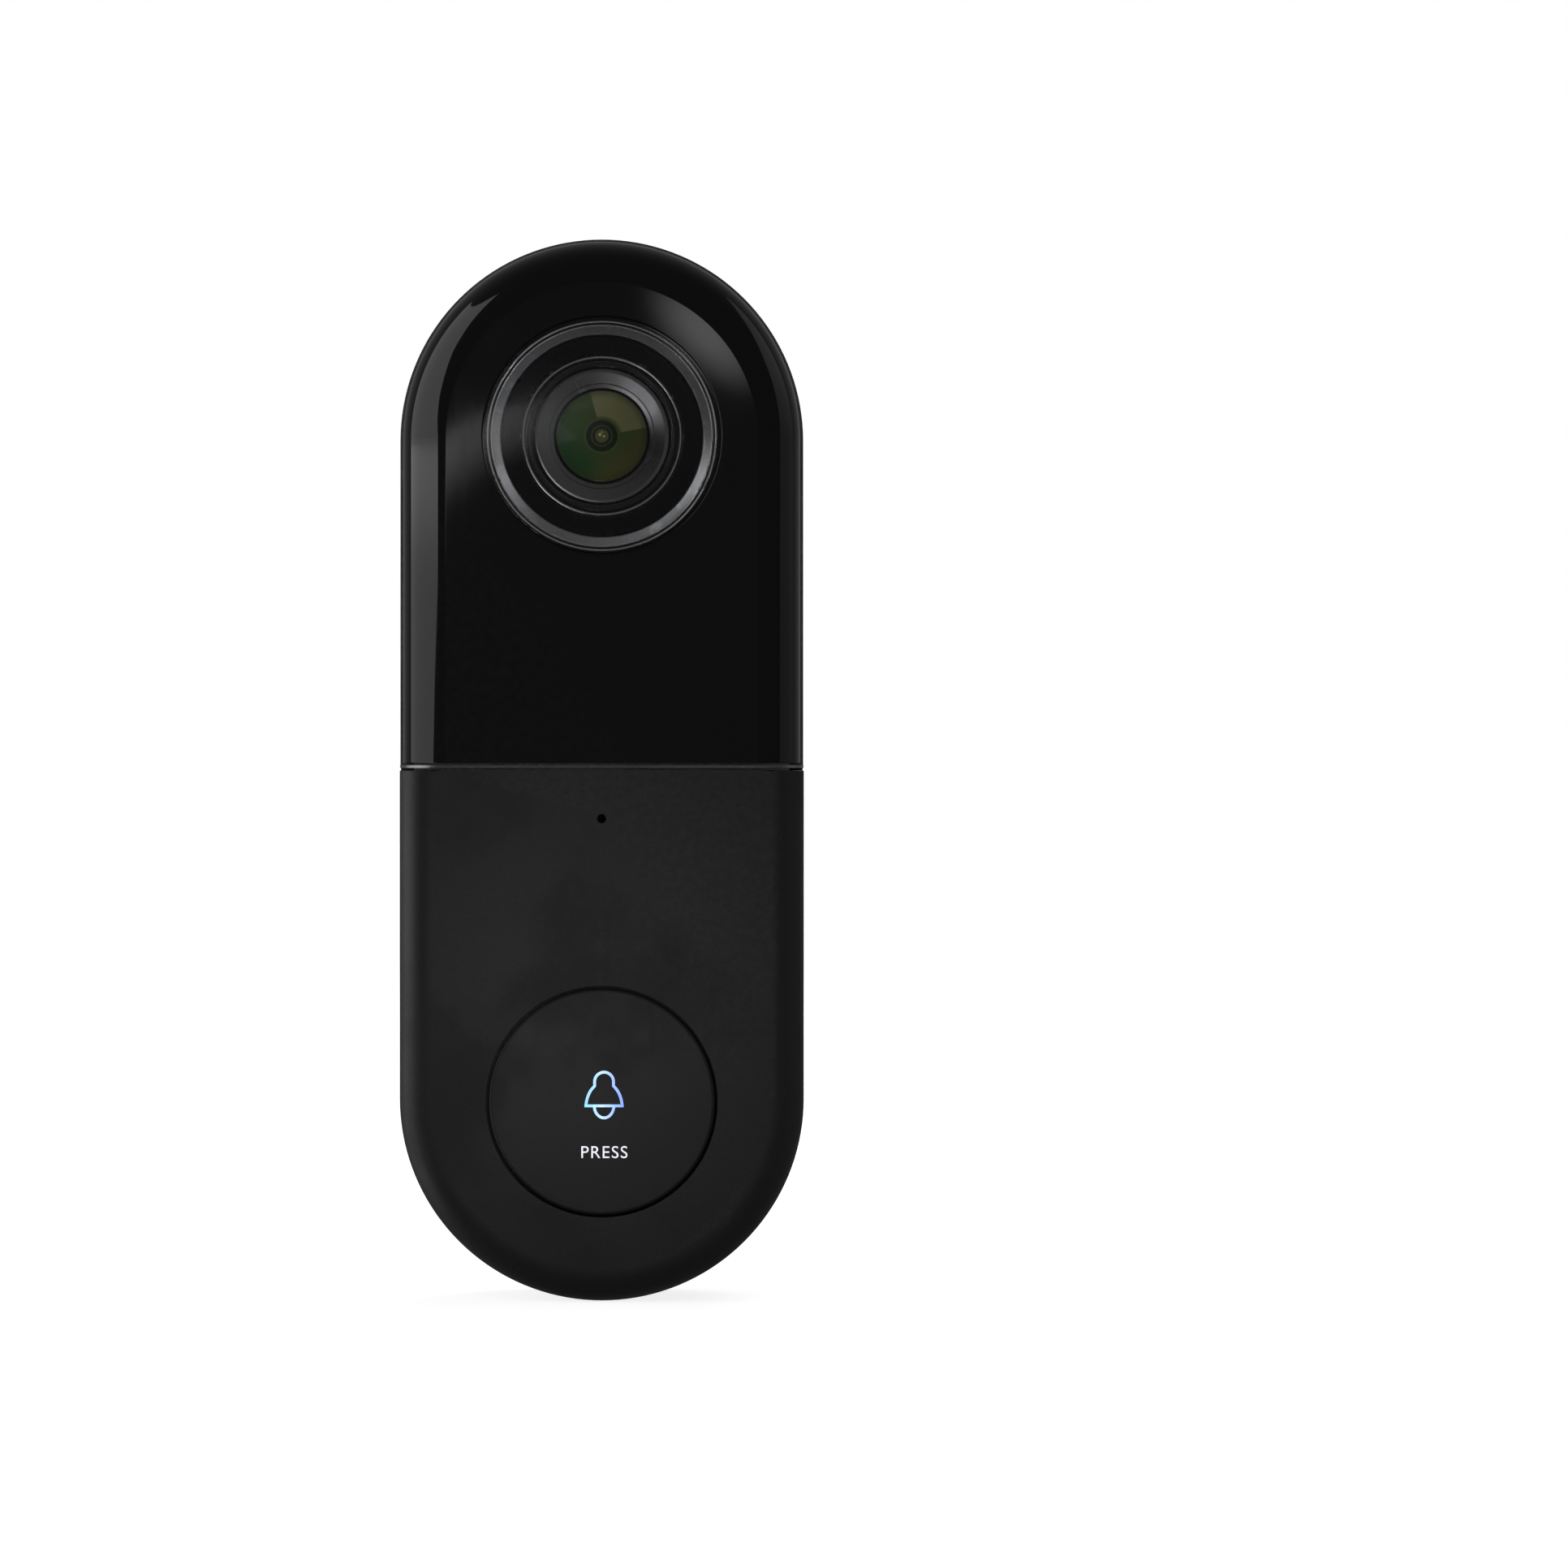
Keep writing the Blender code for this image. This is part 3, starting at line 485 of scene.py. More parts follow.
def circuit_board():
    finish = Finish("circuit_board", (0.008, 0.07, 0.035), 0.42, Specular_IOR_Level=0.5)
    traces = finish.use(TRACES, Scale=260.0)
    finish.tint(traces["Tracks"], (0.016, 0.12, 0.06))
    finish.tint(traces["Pads"], (0.55, 0.5, 0.36))
    finish.shine(traces["Pads"], 0.42, 0.3)
    finish.relief(traces["Tracks"], 0.00002, 0.4)
    return finish.material


def film():
    finish = Finish("amber_film", (0.42, 0.19, 0.04), 0.36)
    traces = finish.use(TRACES, Scale=220.0)
    marks = finish.use(MARKS, Scale=120.0, Streaks=0.3)
    finish.tint(traces["Tracks"], (0.6, 0.33, 0.12))
    finish.shine(marks["Mask"], 0.3, 0.45)
    finish.relief(traces["Tracks"], 0.00002, 0.4)
    return finish.material


def clear_resin():
    finish = Finish("clear_resin", (0.7, 0.74, 0.78), 0.08, IOR=1.5, Transmission_Weight=0.7)
    marks = finish.use(MARKS, Scale=300.0, Streaks=0.2)
    finish.tint(marks["Mask"], (0.62, 0.66, 0.72))
    finish.shine(marks["Mask"], 0.06, 0.16)
    return finish.material


def make_finishes():
    made = {
        "matte_black": moulded_plastic("matte_black", (0.0165, 0.0165, 0.0168), 0.55, 5200.0, 0.000012),
        "button_black": moulded_plastic("button_black", (0.0135, 0.0135, 0.0138), 0.5, 6200.0, 0.000008),
        "inner_plastic": moulded_plastic("inner_plastic", (0.012, 0.012, 0.0125), 0.48, 4000.0, 0.000015),
        "smoked_window": dark_window(),
        "silicone": moulded_plastic("silicone", (0.02, 0.02, 0.021), 0.68, 3500.0, 0.00001),
        "cell_sleeve": moulded_plastic("cell_sleeve", (0.03, 0.12, 0.26), 0.36, 1500.0, 0.000008, 1.2),
        "gloss_black": gloss_plastic(),
        "satin_metal": blasted_metal("satin_metal", (0.22, 0.22, 0.23), 0.36, 0.00002, 6500.0),
        "hood_metal": blasted_metal("hood_metal", (0.22, 0.217, 0.228), 0.46, 0.000006, 12000.0),
        "rim_metal": blasted_metal("rim_metal", (0.2, 0.2, 0.21), 0.32, 0.000002, 16000.0, 1.15),
        "steel": blasted_metal("steel", (0.5, 0.5, 0.5), 0.3, 0.000006, 6000.0),
        "clear_window": clear_window(),
        "lens_glass": coated_glass(),
        "lit_bell": lit_mark(),
        "lit_label": lit_label(),
        "circuit_board": circuit_board(),
        "amber_film": film(),
        "clear_resin": clear_resin(),
    }
    made["light_guide"] = made["clear_resin"]
    return made


FINISHES = make_finishes()

# ---------------------------------------------------------------- mesh helpers


def in_scene(name, data):
    made = bpy.data.objects.new(name, data)
    bpy.context.scene.collection.objects.link(made)
    return made


def piece_from(name, verts, faces, finish):
    """A closed piece with its faces pointing outwards, placed by its mesh."""
    mesh = bpy.data.meshes.new(name)
    mesh.from_pydata(verts, [], faces)
    work = bmesh.new()
    work.from_mesh(mesh)
    bmesh.ops.recalc_face_normals(work, faces=work.faces)
    work.to_mesh(mesh)
    work.free()
    if finish:
        mesh.materials.append(FINISHES[finish])
    return in_scene(name, mesh)


def skin(loops):
    """Points and faces of a solid through rings of equally many points, with both ends closed."""
    count = len(loops[0])
    verts = [point for loop in loops for point in loop]
    faces = [list(range(count)), list(range(len(verts) - count, len(verts)))]
    for a in range(len(loops) - 1):
        first, second = a * count, (a + 1) * count
        for i in range(count):
            j = (i + 1) % count
            faces.append((first + i, first + j, second + j, second + i))
    return verts, faces


def place(axis, centre, across, up, along):
    x, y, z = centre
    if axis == "X":
        return (x + along, y + across, z + up)
    if axis == "Y":
        return (x + across, y + along, z + up)
    return (x + across, y + up, z + along)


def turned(name, outline, finish, centre, axis="Y", steps=FINE):
    """An outline of (radius, along) points in metres, turned round an axis."""
    verts, rings = [], []
    for radius, along in outline:
        count = steps if radius > 0 else 1
        rings.append([len(verts) + i for i in range(count)])
        for i in range(count):
            angle = 2 * math.pi * i / steps
            verts.append(place(axis, centre, radius * math.cos(angle), radius * math.sin(angle), along))
    pairs = list(zip(rings, rings[1:]))
    if outline[0][0] > 0:
        pairs.append((rings[-1], rings[0]))
    faces = []
    for inner, outer in pairs:
        for i in range(steps):
            j = (i + 1) % steps
            corners = [inner[i % len(inner)], inner[j % len(inner)]]
            corners += [outer[j % len(outer)], outer[i % len(outer)]]
            corners = list(dict.fromkeys(corners))
            if len(corners) > 2:
                faces.append(corners)
    return piece_from(name, verts, faces, finish)


def round_corners(outline, radius, closed=True):
    """A turned outline with its corners rounded; radius is one number or one for each corner."""
    points = [Vector(p) for p in outline]
    result = []
    for i, corner in enumerate(points):
        size = radius[i] if isinstance(radius, (list, tuple)) else radius
        if size <= 0 or (not closed and i in (0, len(points) - 1)):
            result.append(tuple(corner))
            continue
        before = (points[i - 1] - corner)
        after = (points[(i + 1) % len(points)] - corner)
        reach = min(size, before.length * 0.45, after.length * 0.45)
        start = corner + before.normalized() * reach
        end = corner + after.normalized() * reach
        for k in range(CORNER_STEPS + 1):
            t = k / CORNER_STEPS
            result.append(tuple((1 - t) ** 2 * start + 2 * t * (1 - t) * corner + t * t * end))
    return result


def extruded(name, outline, span, finish=None, axis="Y", centre=(0, 0, 0)):
    loops = [[place(axis, centre, a, b, depth) for a, b in outline] for depth in span]
    return piece_from(name, *skin(loops), finish)


def block(name, corner, opposite):
    x0, y0, z0 = corner
    x1, y1, z1 = opposite
    return extruded(name, [(x0, z0), (x1, z0), (x1, z1), (x0, z1)], (y0, y1))


def rod(name, radius, span, centre, axis="Y", steps=48):
    outline = [(0, span[0]), (radius, span[0]), (radius, span[1]), (0, span[1])]
    return turned(name, outline, None, centre, axis, steps)


def obround(width, height, centre):
    """A slot outline with round ends along its second coordinate."""
    points = []
    for side in (1, -1):
        for i in range(ROUND_END_STEPS + 1):
            angle = math.pi * i / ROUND_END_STEPS
            up = side * (math.sin(angle) * width / 2 + (height - width) / 2)
            points.append((centre[0] + side * math.cos(angle) * width / 2, centre[1] + up))
    return points


def rounded_rectangle(width, height, radius, centre, low_radius=None):
    """A rectangle with rounded corners; the two lower ones may have their own radius."""
    points = []
    for k, (sx, sz) in enumerate(((1, 1), (-1, 1), (-1, -1), (1, -1))):
        size = low_radius if low_radius and sz < 0 else radius
        for i in range(QUARTER_STEPS + 1):
            angle = math.pi / 2 * (k + i / QUARTER_STEPS)
            x = centre[0] + sx * (width / 2 - size) + size * math.cos(angle)
            points.append((x, centre[1] + sz * (height / 2 - size) + size * math.sin(angle)))
    return points


def freeze(piece):
    """Turns a piece's live modifiers into plain mesh."""
    graph = bpy.context.evaluated_depsgraph_get()
    mesh = bpy.data.meshes.new_from_object(piece.evaluated_get(graph))
    mesh.name = piece.name
    piece.modifiers.clear()
    piece.data = mesh
    return piece


def boolean(piece, operation, *tools):
    """Cuts or joins helper solids with a piece and removes them."""
    for tool in tools:
        step = piece.modifiers.new("cut", "BOOLEAN")
        step.operation = operation
        step.solver = "EXACT"
        step.object = tool
    freeze(piece)
    for tool in tools:
        bpy.data.objects.remove(tool, do_unlink=True)
    return piece


def soften(piece, width, segments=3):
    """Small rounds on a piece's hard edges, and even shading over its flat faces."""
    merge = piece.modifiers.new("merge", "WELD")
    merge.merge_threshold = MERGE
    edge = piece.modifiers.new("edge", "BEVEL")
    edge.width = width
    edge.segments = segments
    edge.limit_method = "ANGLE"
    edge.angle_limit = HARD
    edge.use_clamp_overlap = True
    edge.harden_normals = False
    freeze(piece)
    shade(piece)


def shade(piece):
    """Smooth shading that keeps flat faces flat and hard corners hard."""
    piece.data.shade_smooth()
    piece.data.set_sharp_from_angle(angle=SHARP)
    even = piece.modifiers.new("even", "WEIGHTED_NORMAL")
    even.keep_sharp = True
    even.weight = 80
    return freeze(piece)


def join(name, pieces):
    """Several pieces as one mesh, with their materials kept."""
    work = bmesh.new()
    materials = []
    for part in pieces:
        start = len(work.faces)
        work.from_mesh(part.data)
        work.faces.ensure_lookup_table()
        for face in work.faces[start:]:
            own = part.data.materials[face.material_index] if part.data.materials else None
            if own not in materials:
                materials.append(own)
            face.material_index = materials.index(own)
        smooth = [polygon.use_smooth for polygon in part.data.polygons]
        for face, is_smooth in zip(work.faces[start:], smooth):
            face.smooth = is_smooth
    mesh = bpy.data.meshes.new(name)
    work.to_mesh(mesh)
    work.free()
    for own in materials:
        mesh.materials.append(own)
    for part in pieces:
        bpy.data.objects.remove(part, do_unlink=True)
    mesh.set_sharp_from_angle(angle=SHARP)
    return in_scene(name, mesh)


def stands_for(piece, body, slot, *nodes):
    """Hooks a finished piece to its body and hides the frame nodes it stands for."""
    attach(piece, body)
    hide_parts(*nodes)


# ---------------------------------------------------------------- Geometry Nodes


def copies_tree(name, inputs, make_points):
    """A Geometry Nodes tree that puts copies of a part on points and ends as a painted mesh."""
    tree = bpy.data.node_groups.new(name, "GeometryNodeTree")
    tree.interface.new_socket("Geometry", in_out="INPUT", socket_type="NodeSocketGeometry")
    for label, kind in (("Part", "Object"), ("Count", "Int"), *inputs, ("Material", "Material")):
        tree.interface.new_socket(label, in_out="INPUT", socket_type="NodeSocket" + kind)
    tree.interface.new_socket("Geometry", in_out="OUTPUT", socket_type="NodeSocketGeometry")
    given = tree.nodes.new("NodeGroupInput").outputs
    part = add_node(tree, "GeometryNodeObjectInfo", Object=given["Part"]).outputs["Geometry"]
    points = make_points(tree, given)
    copies = add_node(tree, "GeometryNodeInstanceOnPoints", Points=points, Instance=part)
    real = add_node(tree, "GeometryNodeRealizeInstances", Geometry=copies.outputs["Instances"])
    paint = add_node(
        tree, "GeometryNodeSetMaterial", Geometry=real.outputs["Geometry"], Material=given["Material"]
    )
    add_node(tree, "NodeGroupOutput", Geometry=paint.outputs["Geometry"])
    return tree


def ring_points(tree, given):
    """Points evenly round a circle in the XZ plane."""
    circle = add_node(tree, "GeometryNodeMeshCircle", Vertices=given["Count"], Radius=given["Radius"])
    stand = add_node(
        tree,
        "GeometryNodeTransform",
        Geometry=circle.outputs["Mesh"],
        Translation=given["Centre"],
        Rotation=(math.radians(90), 0.0, 0.0),
    )
    return stand.outputs["Geometry"]


def row_points(tree, given):
    """Points in a straight row."""
    line = add_node(tree, "GeometryNodeMeshLine", Count=given["Count"])
    tree.links.new(given["Start"], line.inputs["Start Location"])
    tree.links.new(given["Step"], line.inputs["Offset"])
    return line.outputs["Mesh"]


RING_INPUTS = (("Radius", "Float"), ("Centre", "Vector"))
ROW_INPUTS = (("Start", "Vector"), ("Step", "Vector"))
RING_OF_COPIES = copies_tree("copies_round_a_ring", RING_INPUTS, ring_points)
ROW_OF_COPIES = copies_tree("copies_in_a_row", ROW_INPUTS, row_points)


def grow(name, tree, finish, **values):
    """Runs a tree with the given named inputs and keeps its result as a plain mesh."""
    holder = in_scene(name, bpy.data.meshes.new(name))
    step = holder.modifiers.new("grow", "NODES")
    step.node_group = tree
    values["Material"] = FINISHES[finish]
    for item in tree.interface.items_tree:
        if item.in_out == "INPUT" and item.name in values:
            step[item.identifier] = values[item.name]
    part = values["Part"]
    freeze(holder)
    bpy.data.objects.remove(part, do_unlink=True)
    return holder


# ---------------------------------------------------------------- body outlines


def half_capsule(radius, side, seam):
    """One round end of the body with straight sides down to the seam, as (x, z) points."""
    centre = side * END_CENTRE
    points = [(radius, seam)]
    for i in range(ARC_STEPS + 1):
        angle = math.pi * i / ARC_STEPS
        points.append((radius * math.cos(angle), centre + side * radius * math.sin(angle)))
    return [*points, (-radius, seam)]


def capsule(radius):
    upper = half_capsule(radius, 1, 0.0)[1:-1]
    lower = half_capsule(radius, -1, 0.0)[1:-1]
    return upper + lower[::-1]


def rounded_edge(edge, face, steps=EDGE_STEPS):
    """(inset, depth) steps of an edge rounded towards the front."""
    result = []
    for i in range(steps + 1):
        angle = 0.5 * math.pi * i / steps
        result.append((edge * (1 - math.cos(angle)), face + edge * (1 - math.sin(angle))))
    return result


def at_depth(outline, depth):
    return [(x, depth, z) for x, z in outline]


def front_shell(name, radius, side, seam, back, edge, finish):
    """A front shell with an open back and an open seam end."""
    layers = [(0.0, back), *rounded_edge(edge, FACE), (edge + 0.3 * MM, FACE)]
    loops = [at_depth(half_capsule(radius - inset, side, seam), depth) for inset, depth in layers]
    shell = piece_from(name, *skin(loops), finish)
    cavity = half_capsule(radius - WALL, side, -side * 5 * MM)
    return boolean(shell, "DIFFERENCE", extruded("hollow", cavity, (FACE + WALL, back + 2 * MM)))


def add_posts(shell, side):
    """The two screw posts behind a front shell."""
    added, holes = [], []
    for hand in (-1, 1):
        centre = (hand * POST_X, 0, side * POST_Z)
        added.append(rod("post", POST_RADIUS, (FACE + WALL - 0.4 * MM, -9.8 * MM), centre))
        holes.append(rod("post_hole", POST_HOLE, mm(-22, -9), centre))
    boolean(shell, "UNION", *added)
    boolean(shell, "DIFFERENCE", *holes)


# ---------------------------------------------------------------- case


def make_lower_cover():
    """Matte lower half with the button's opening and the microphone's hole."""
    cover = front_shell("matte_cover", BODY_RADIUS, -1, COVER_SEAM, RIM_BACK, COVER_EDGE, "matte_black")
    add_posts(cover, -1)
    through = (FACE - MM, FACE + WALL + MM)
    opening = rod("opening", 15.35 * MM, through, BUTTON, steps=FINE)
    hole = rod("hole", 0.55 * MM, through, (0, 0, MICROPHONE_Z), steps=32)
    boolean(cover, "DIFFERENCE", opening, hole)
    soften(cover, 0.22 * MM)
    stands_for(cover, "doorbell", "matte_black", "lower_cover")


def make_upper_fascia():
    """Gloss upper half with the camera's opening."""
    size = (FASCIA_RADIUS, 1, FASCIA_SEAM, FASCIA_BACK, FASCIA_EDGE)
    fascia = front_shell("gloss_fascia", *size, "gloss_black")
    add_posts(fascia, 1)
    radius = high("camera_window")[0] + 0.3 * MM
    opening = rod("opening", radius, (FACE - MM, FACE + WALL + MM), CAMERA, steps=FINE)
    boolean(fascia, "DIFFERENCE", opening)
    soften(fascia, 0.2 * MM, 4)
    stands_for(fascia, "doorbell", "gloss_black", "upper_fascia")


def make_rim():
    """Thin metal trim round the gloss half, with its bar across the seam and the tongue behind it."""
    outer = half_capsule(BODY_RADIUS, 1, RIM_SEAM + 0.15 * MM)
    inner = half_capsule(25.2 * MM, 1, RIM_SEAM + 0.15 * MM)
    rim = extruded("metal_rim", outer + inner[::-1], (RIM_BACK, RIM_BACK - 2.2 * MM), "rim_metal")
    foot = RIM_BACK - 0.3 * MM
    half = BODY_RADIUS - 0.02 * MM
    edge = rounded_edge(FASCIA_EDGE - 0.4 * MM, FACE + 0.02 * MM)
    profile = [(half, foot), *[(half - inset, depth) for inset, depth in edge]]
    profile += [(-x, y) for x, y in profile[::-1]]
    leg, under = mm(25.0, -27.5)
    profile += [(-leg, foot), (-leg, under), (leg, under), (leg, foot)]
    bar = extruded("bar", profile, (RIM_SEAM, RIM_SEAM + 0.35 * MM), axis="Z")
    wide, thin = mm(25.0, 23.8)
    near, far = FACE + 2.0 * MM, FACE + 3.1 * MM
    profile = [(wide, foot), (wide, near), (-wide, near), (-wide, foot)]
    profile += [(-thin, foot), (-thin, far), (thin, far), (thin, foot)]
    tongue = extruded("tongue", profile, (RIM_SEAM - 1.2 * MM, RIM_SEAM + 1.6 * MM), axis="Z")
    boolean(rim, "UNION", bar, tongue)
    soften(rim, 0.06 * MM, 2)
    stands_for(rim, "doorbell", "rim_metal", "fascia_rim")


def make_rear_housing():
    """Tub with bosses, keyholes, port recess and speaker grille."""
    edge = rounded_edge(HOUSING_EDGE, FACE, 8)[::-1]
    layers = [(HOUSING_EDGE + 0.3 * MM, HOUSING_BACK)]
    layers += [(inset, HOUSING_BACK - (depth - FACE)) for inset, depth in edge]
    layers += [(0.0, HOUSING_FRONT), (HOUSING_WALL, HOUSING_FRONT), (HOUSING_WALL, HOUSING_FLOOR)]
    loops = [at_depth(capsule(BODY_RADIUS - inset), depth) for inset, depth in layers]
    tub = piece_from("housing_tub", *skin(loops), "matte_black")
    root = HOUSING_FLOOR + 0.5 * MM
    solids, cuts = [], []
    for hand in (-1, 1):
        cut_keyhole(hand * HOOK_X, root, solids, cuts)
        centre = (hand * CAMERA_POST_X, 0, CAMERA_Z + 10 * MM)
        solids.append(rod("boss", CAMERA_POST_RADIUS, (-10 * MM, root), centre, steps=32))
        cuts.append(rod("hole", CAMERA_POST_HOLE, mm(-11, -6.5), centre, steps=24))
        for end in (-1, 1):
            centre = (hand * POST_X, 0, end * POST_Z)
            solids.append(rod("boss", BOSS_RADIUS, (-9.5 * MM, root), centre))
            cuts.append(rod("bore", BOSS_BORE, mm(-6.5, -2), centre))
            cuts.append(rod("hole", BOSS_HOLE, mm(-10.5, -6), centre, steps=32))
    solids.append(block("lock_boss", mm(-7, -10.5, -69.8), (7 * MM, root, -60.5 * MM)))
    solids.append(block("pad", mm(24, -18, 16), mm(26, -9.2, 39.2)))
    cuts.append(block("notch", mm(-5.4, -8.6, -73), mm(5.4, -2, -67.9)))
    cuts.append(rod("lock_hole", LOCK_HOLE, mm(-69, -61.8), (0, LOCK_Y, 0), "Z", steps=32))
    cuts += port_cutters()
    boolean(tub, "UNION", *solids)
    boolean(tub, "DIFFERENCE", *cuts)
    boolean(tub, "DIFFERENCE", *grille_punches())
    soften(tub, 0.12 * MM, 2)
    stands_for(tub, "doorbell", "matte_black", "rear_housing")


def cut_keyhole(x, root, solids, cuts):
    """The boss of one hook, the room for the hook's head, its way in and the slot above that."""
    side, entry, top = 4.1 * MM, HOOK_Z - LIFT, HOOK_Z + 1.9 * MM
    solids.append(block("boss", (x - 5.6 * MM, -8.5 * MM, 17.4 * MM), (x + 5.6 * MM, root, 34.5 * MM)))
    corner, opposite = (x - side, -7 * MM, entry - 3.1 * MM), (x + side, -4.6 * MM, HOOK_Z + 3 * MM)
    cuts.append(block("room", corner, opposite))
    way = rounded_rectangle(2 * side, 6.2 * MM, 0.8 * MM, centre=(x, entry))
    slot = obround(4.8 * MM, top - entry, centre=(x, (top + entry) / 2))
    cuts += [extruded("way", way, mm(-5, -2)), extruded("slot", slot, mm(-5, -2))]


def port_cutters():
    """The flap's recess, the socket's opening and the reset key's hole."""
    (_, y0, z0), (_, y1, z1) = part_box("usb_cover")
    gap = 0.3 * MM
    size = (y1 - y0 + 2 * gap, z1 - z0 + 2 * gap)
    centre = ((y0 + y1) / 2, (z0 + z1) / 2)
    recess = rounded_rectangle(*size, 1.7 * MM, centre=centre, low_radius=0.3 * MM)
    mouth = rounded_rectangle(3.8 * MM, 9.8 * MM, 1.85 * MM, centre=(PORT_Y, PORT_Z))
    key_hole = rod("key_hole", 1.4 * MM, mm(23, 26), (0, PORT_Y, KEY_Z), "X", steps=32)
    recess = extruded("recess", recess, mm(25.5, 28), axis="X")
    return [recess, extruded("mouth", mouth, mm(23, 26), axis="X"), key_hole]


def grille_punches():
    """Cutters for the speaker's holes: one in the middle and two rings round it."""
    radius = 0.6 * MM
    punches = [rod("punch", radius, mm(-28, -24), (0, SPEAKER_Y, SPEAKER_Z), "X", steps=16)]
    for count, reach in ((6, 2.2 * MM), (12, 4.4 * MM)):
        ring = {"Part": rod("pin", radius, mm(-2, 2), (0, 0, 0), steps=16), "Centre": (0, 0, 0)}
        ring = grow("ring", RING_OF_COPIES, "matte_black", Count=count, Radius=reach, **ring)
        for vertex in ring.data.vertices:
            x, y, z = vertex.co
            vertex.co = (y - 26 * MM, x + SPEAKER_Y, z + SPEAKER_Z)
        ring.data.flip_normals()
        punches.append(ring)
    return punches


def make_bracket():
    """Wall plate with hooks, lip, countersunk slots and a ribbed back."""
    edge, front = mm(0.5, -2.5)
    radius = high("wall_bracket")[0]
    layers = [(0.25 * MM, 0.0), (0.0, -0.25 * MM), (0.0, front + edge)]
    layers += [(0.12 * MM, front + 0.2 * MM), (edge, front)]
    loops = [at_depth(capsule(radius - inset), depth) for inset, depth in layers]
    plate = piece_from("bracket_plate", *skin(loops), "matte_black")
    solids, cuts = [], []
    for hand in (-1, 1):
        hook = (hand * HOOK_X, HOOK_Z)
        neck = rounded_rectangle(4 * MM, 3 * MM, 1.2 * MM, centre=hook)
        head = rounded_rectangle(7 * MM, 5 * MM, 0.8 * MM, centre=hook)
        solids += [extruded("neck", neck, mm(-5.6, -2)), extruded("head", head, mm(-6.4, -5.2))]
        centre = (0, hand * SLOT_Z)
        slot, rim = obround(4 * MM, 8 * MM, centre=centre), obround(8 * MM, 12 * MM, centre=centre)
        cuts.append(extruded("slot", slot, (front - MM, MM)))
        sink = [at_depth(rim, front - 0.01 * MM), at_depth(slot, front + 1.4 * MM)]
        cuts.append(piece_from("sink", *skin(sink), None))
    lip = rounded_rectangle(10 * MM, 1.4 * MM, 0.4 * MM, centre=(0, -68.9 * MM))
    solids.append(extruded("lip", lip, mm(-8.2, -2)))
    cuts.append(rod("lip_hole", LOCK_HOLE, mm(-72, -67), (0, LOCK_Y, 0), "Z", steps=32))
    for x in (-10.5, 10.5):
        for z in (-21, 21):
            pocket = rounded_rectangle(17 * MM, 36 * MM, 2.5 * MM, centre=mm(x, z))
            cuts.append(extruded("pocket", pocket, (-1.1 * MM, MM)))
    boolean(plate, "UNION", *solids)
    boolean(plate, "DIFFERENCE", *cuts)
    soften(plate, 0.12 * MM, 2)
    stands_for(plate, "bracket", "matte_black", "wall_bracket")


def screw(name, centre, axis, head_radius, head, shank_radius, tip, recess):
    """A screw with a crowned head, a cross recess, a grooved shank and a pointed tip."""
    start, end = head
    way = 1 if end > start else -1
    crown = ((0, 0), (0.6, 0.05), (0.92, 0.22), (1, 0.45))
    outline = [(head_radius * share, start + way * rise * MM) for share, rise in crown]
    outline += [(head_radius, end), (shank_radius, end)]
    turns = int(abs(tip - end) / (0.55 * MM))
    for i in range(turns):
        along = end + way * (i + 0.5) * abs(tip - end) / (turns + 1)
        outline += [(shank_radius * 0.84, along), (shank_radius, along + way * 0.25 * MM)]
    outline += [(shank_radius * 0.8, tip - way * 0.4 * MM), (0, tip)]
    made = turned(name, outline, "steel", centre, axis, 32)
    arm, thin = head_radius * 0.55, head_radius * 0.14
    reach = (start - way * 0.5 * MM, start + way * recess)
    tools = []
    for wide, tall in ((arm, thin), (thin, arm)):
        outline = [(-wide, -tall), (wide, -tall), (wide, tall), (-wide, tall)]
        tools.append(extruded("recess", outline, reach, axis=axis, centre=centre))
    boolean(made, "DIFFERENCE", *tools)
    return shade(made)


def make_screws():
    """The lock screw and the four case screws."""
    sizes = (2.0 * MM, mm(-70.9, -69.9), 1.0 * MM, -62.5 * MM, 0.6 * MM)
    lock = screw("bracket_screw", (0, LOCK_Y, 0), "Z", *sizes)
    stands_for(lock, "bracket", "steel", "lock_screw")
    sizes = (2.4 * MM, mm(-4, -6), 1.2 * MM, -20 * MM, 0.9 * MM)
    for number, (hand, end) in enumerate(((-1, 1), (1, 1), (-1, -1), (1, -1)), 1):
        made = screw(f"case_screw_{number}", (hand * POST_X, 0, end * POST_Z), "Y", *sizes)
        stands_for(made, "doorbell", "steel", f"housing_screw_{number}")


# ---------------------------------------------------------------- camera


def ring_piece(name, outline, finish, radius, slot, node):
    """A turned ring with rounded corners that stands for one node of the doorbell."""
    made = shade(turned(name, round_corners(outline, radius), finish, CAMERA))
    stands_for(made, "doorbell", slot, node)


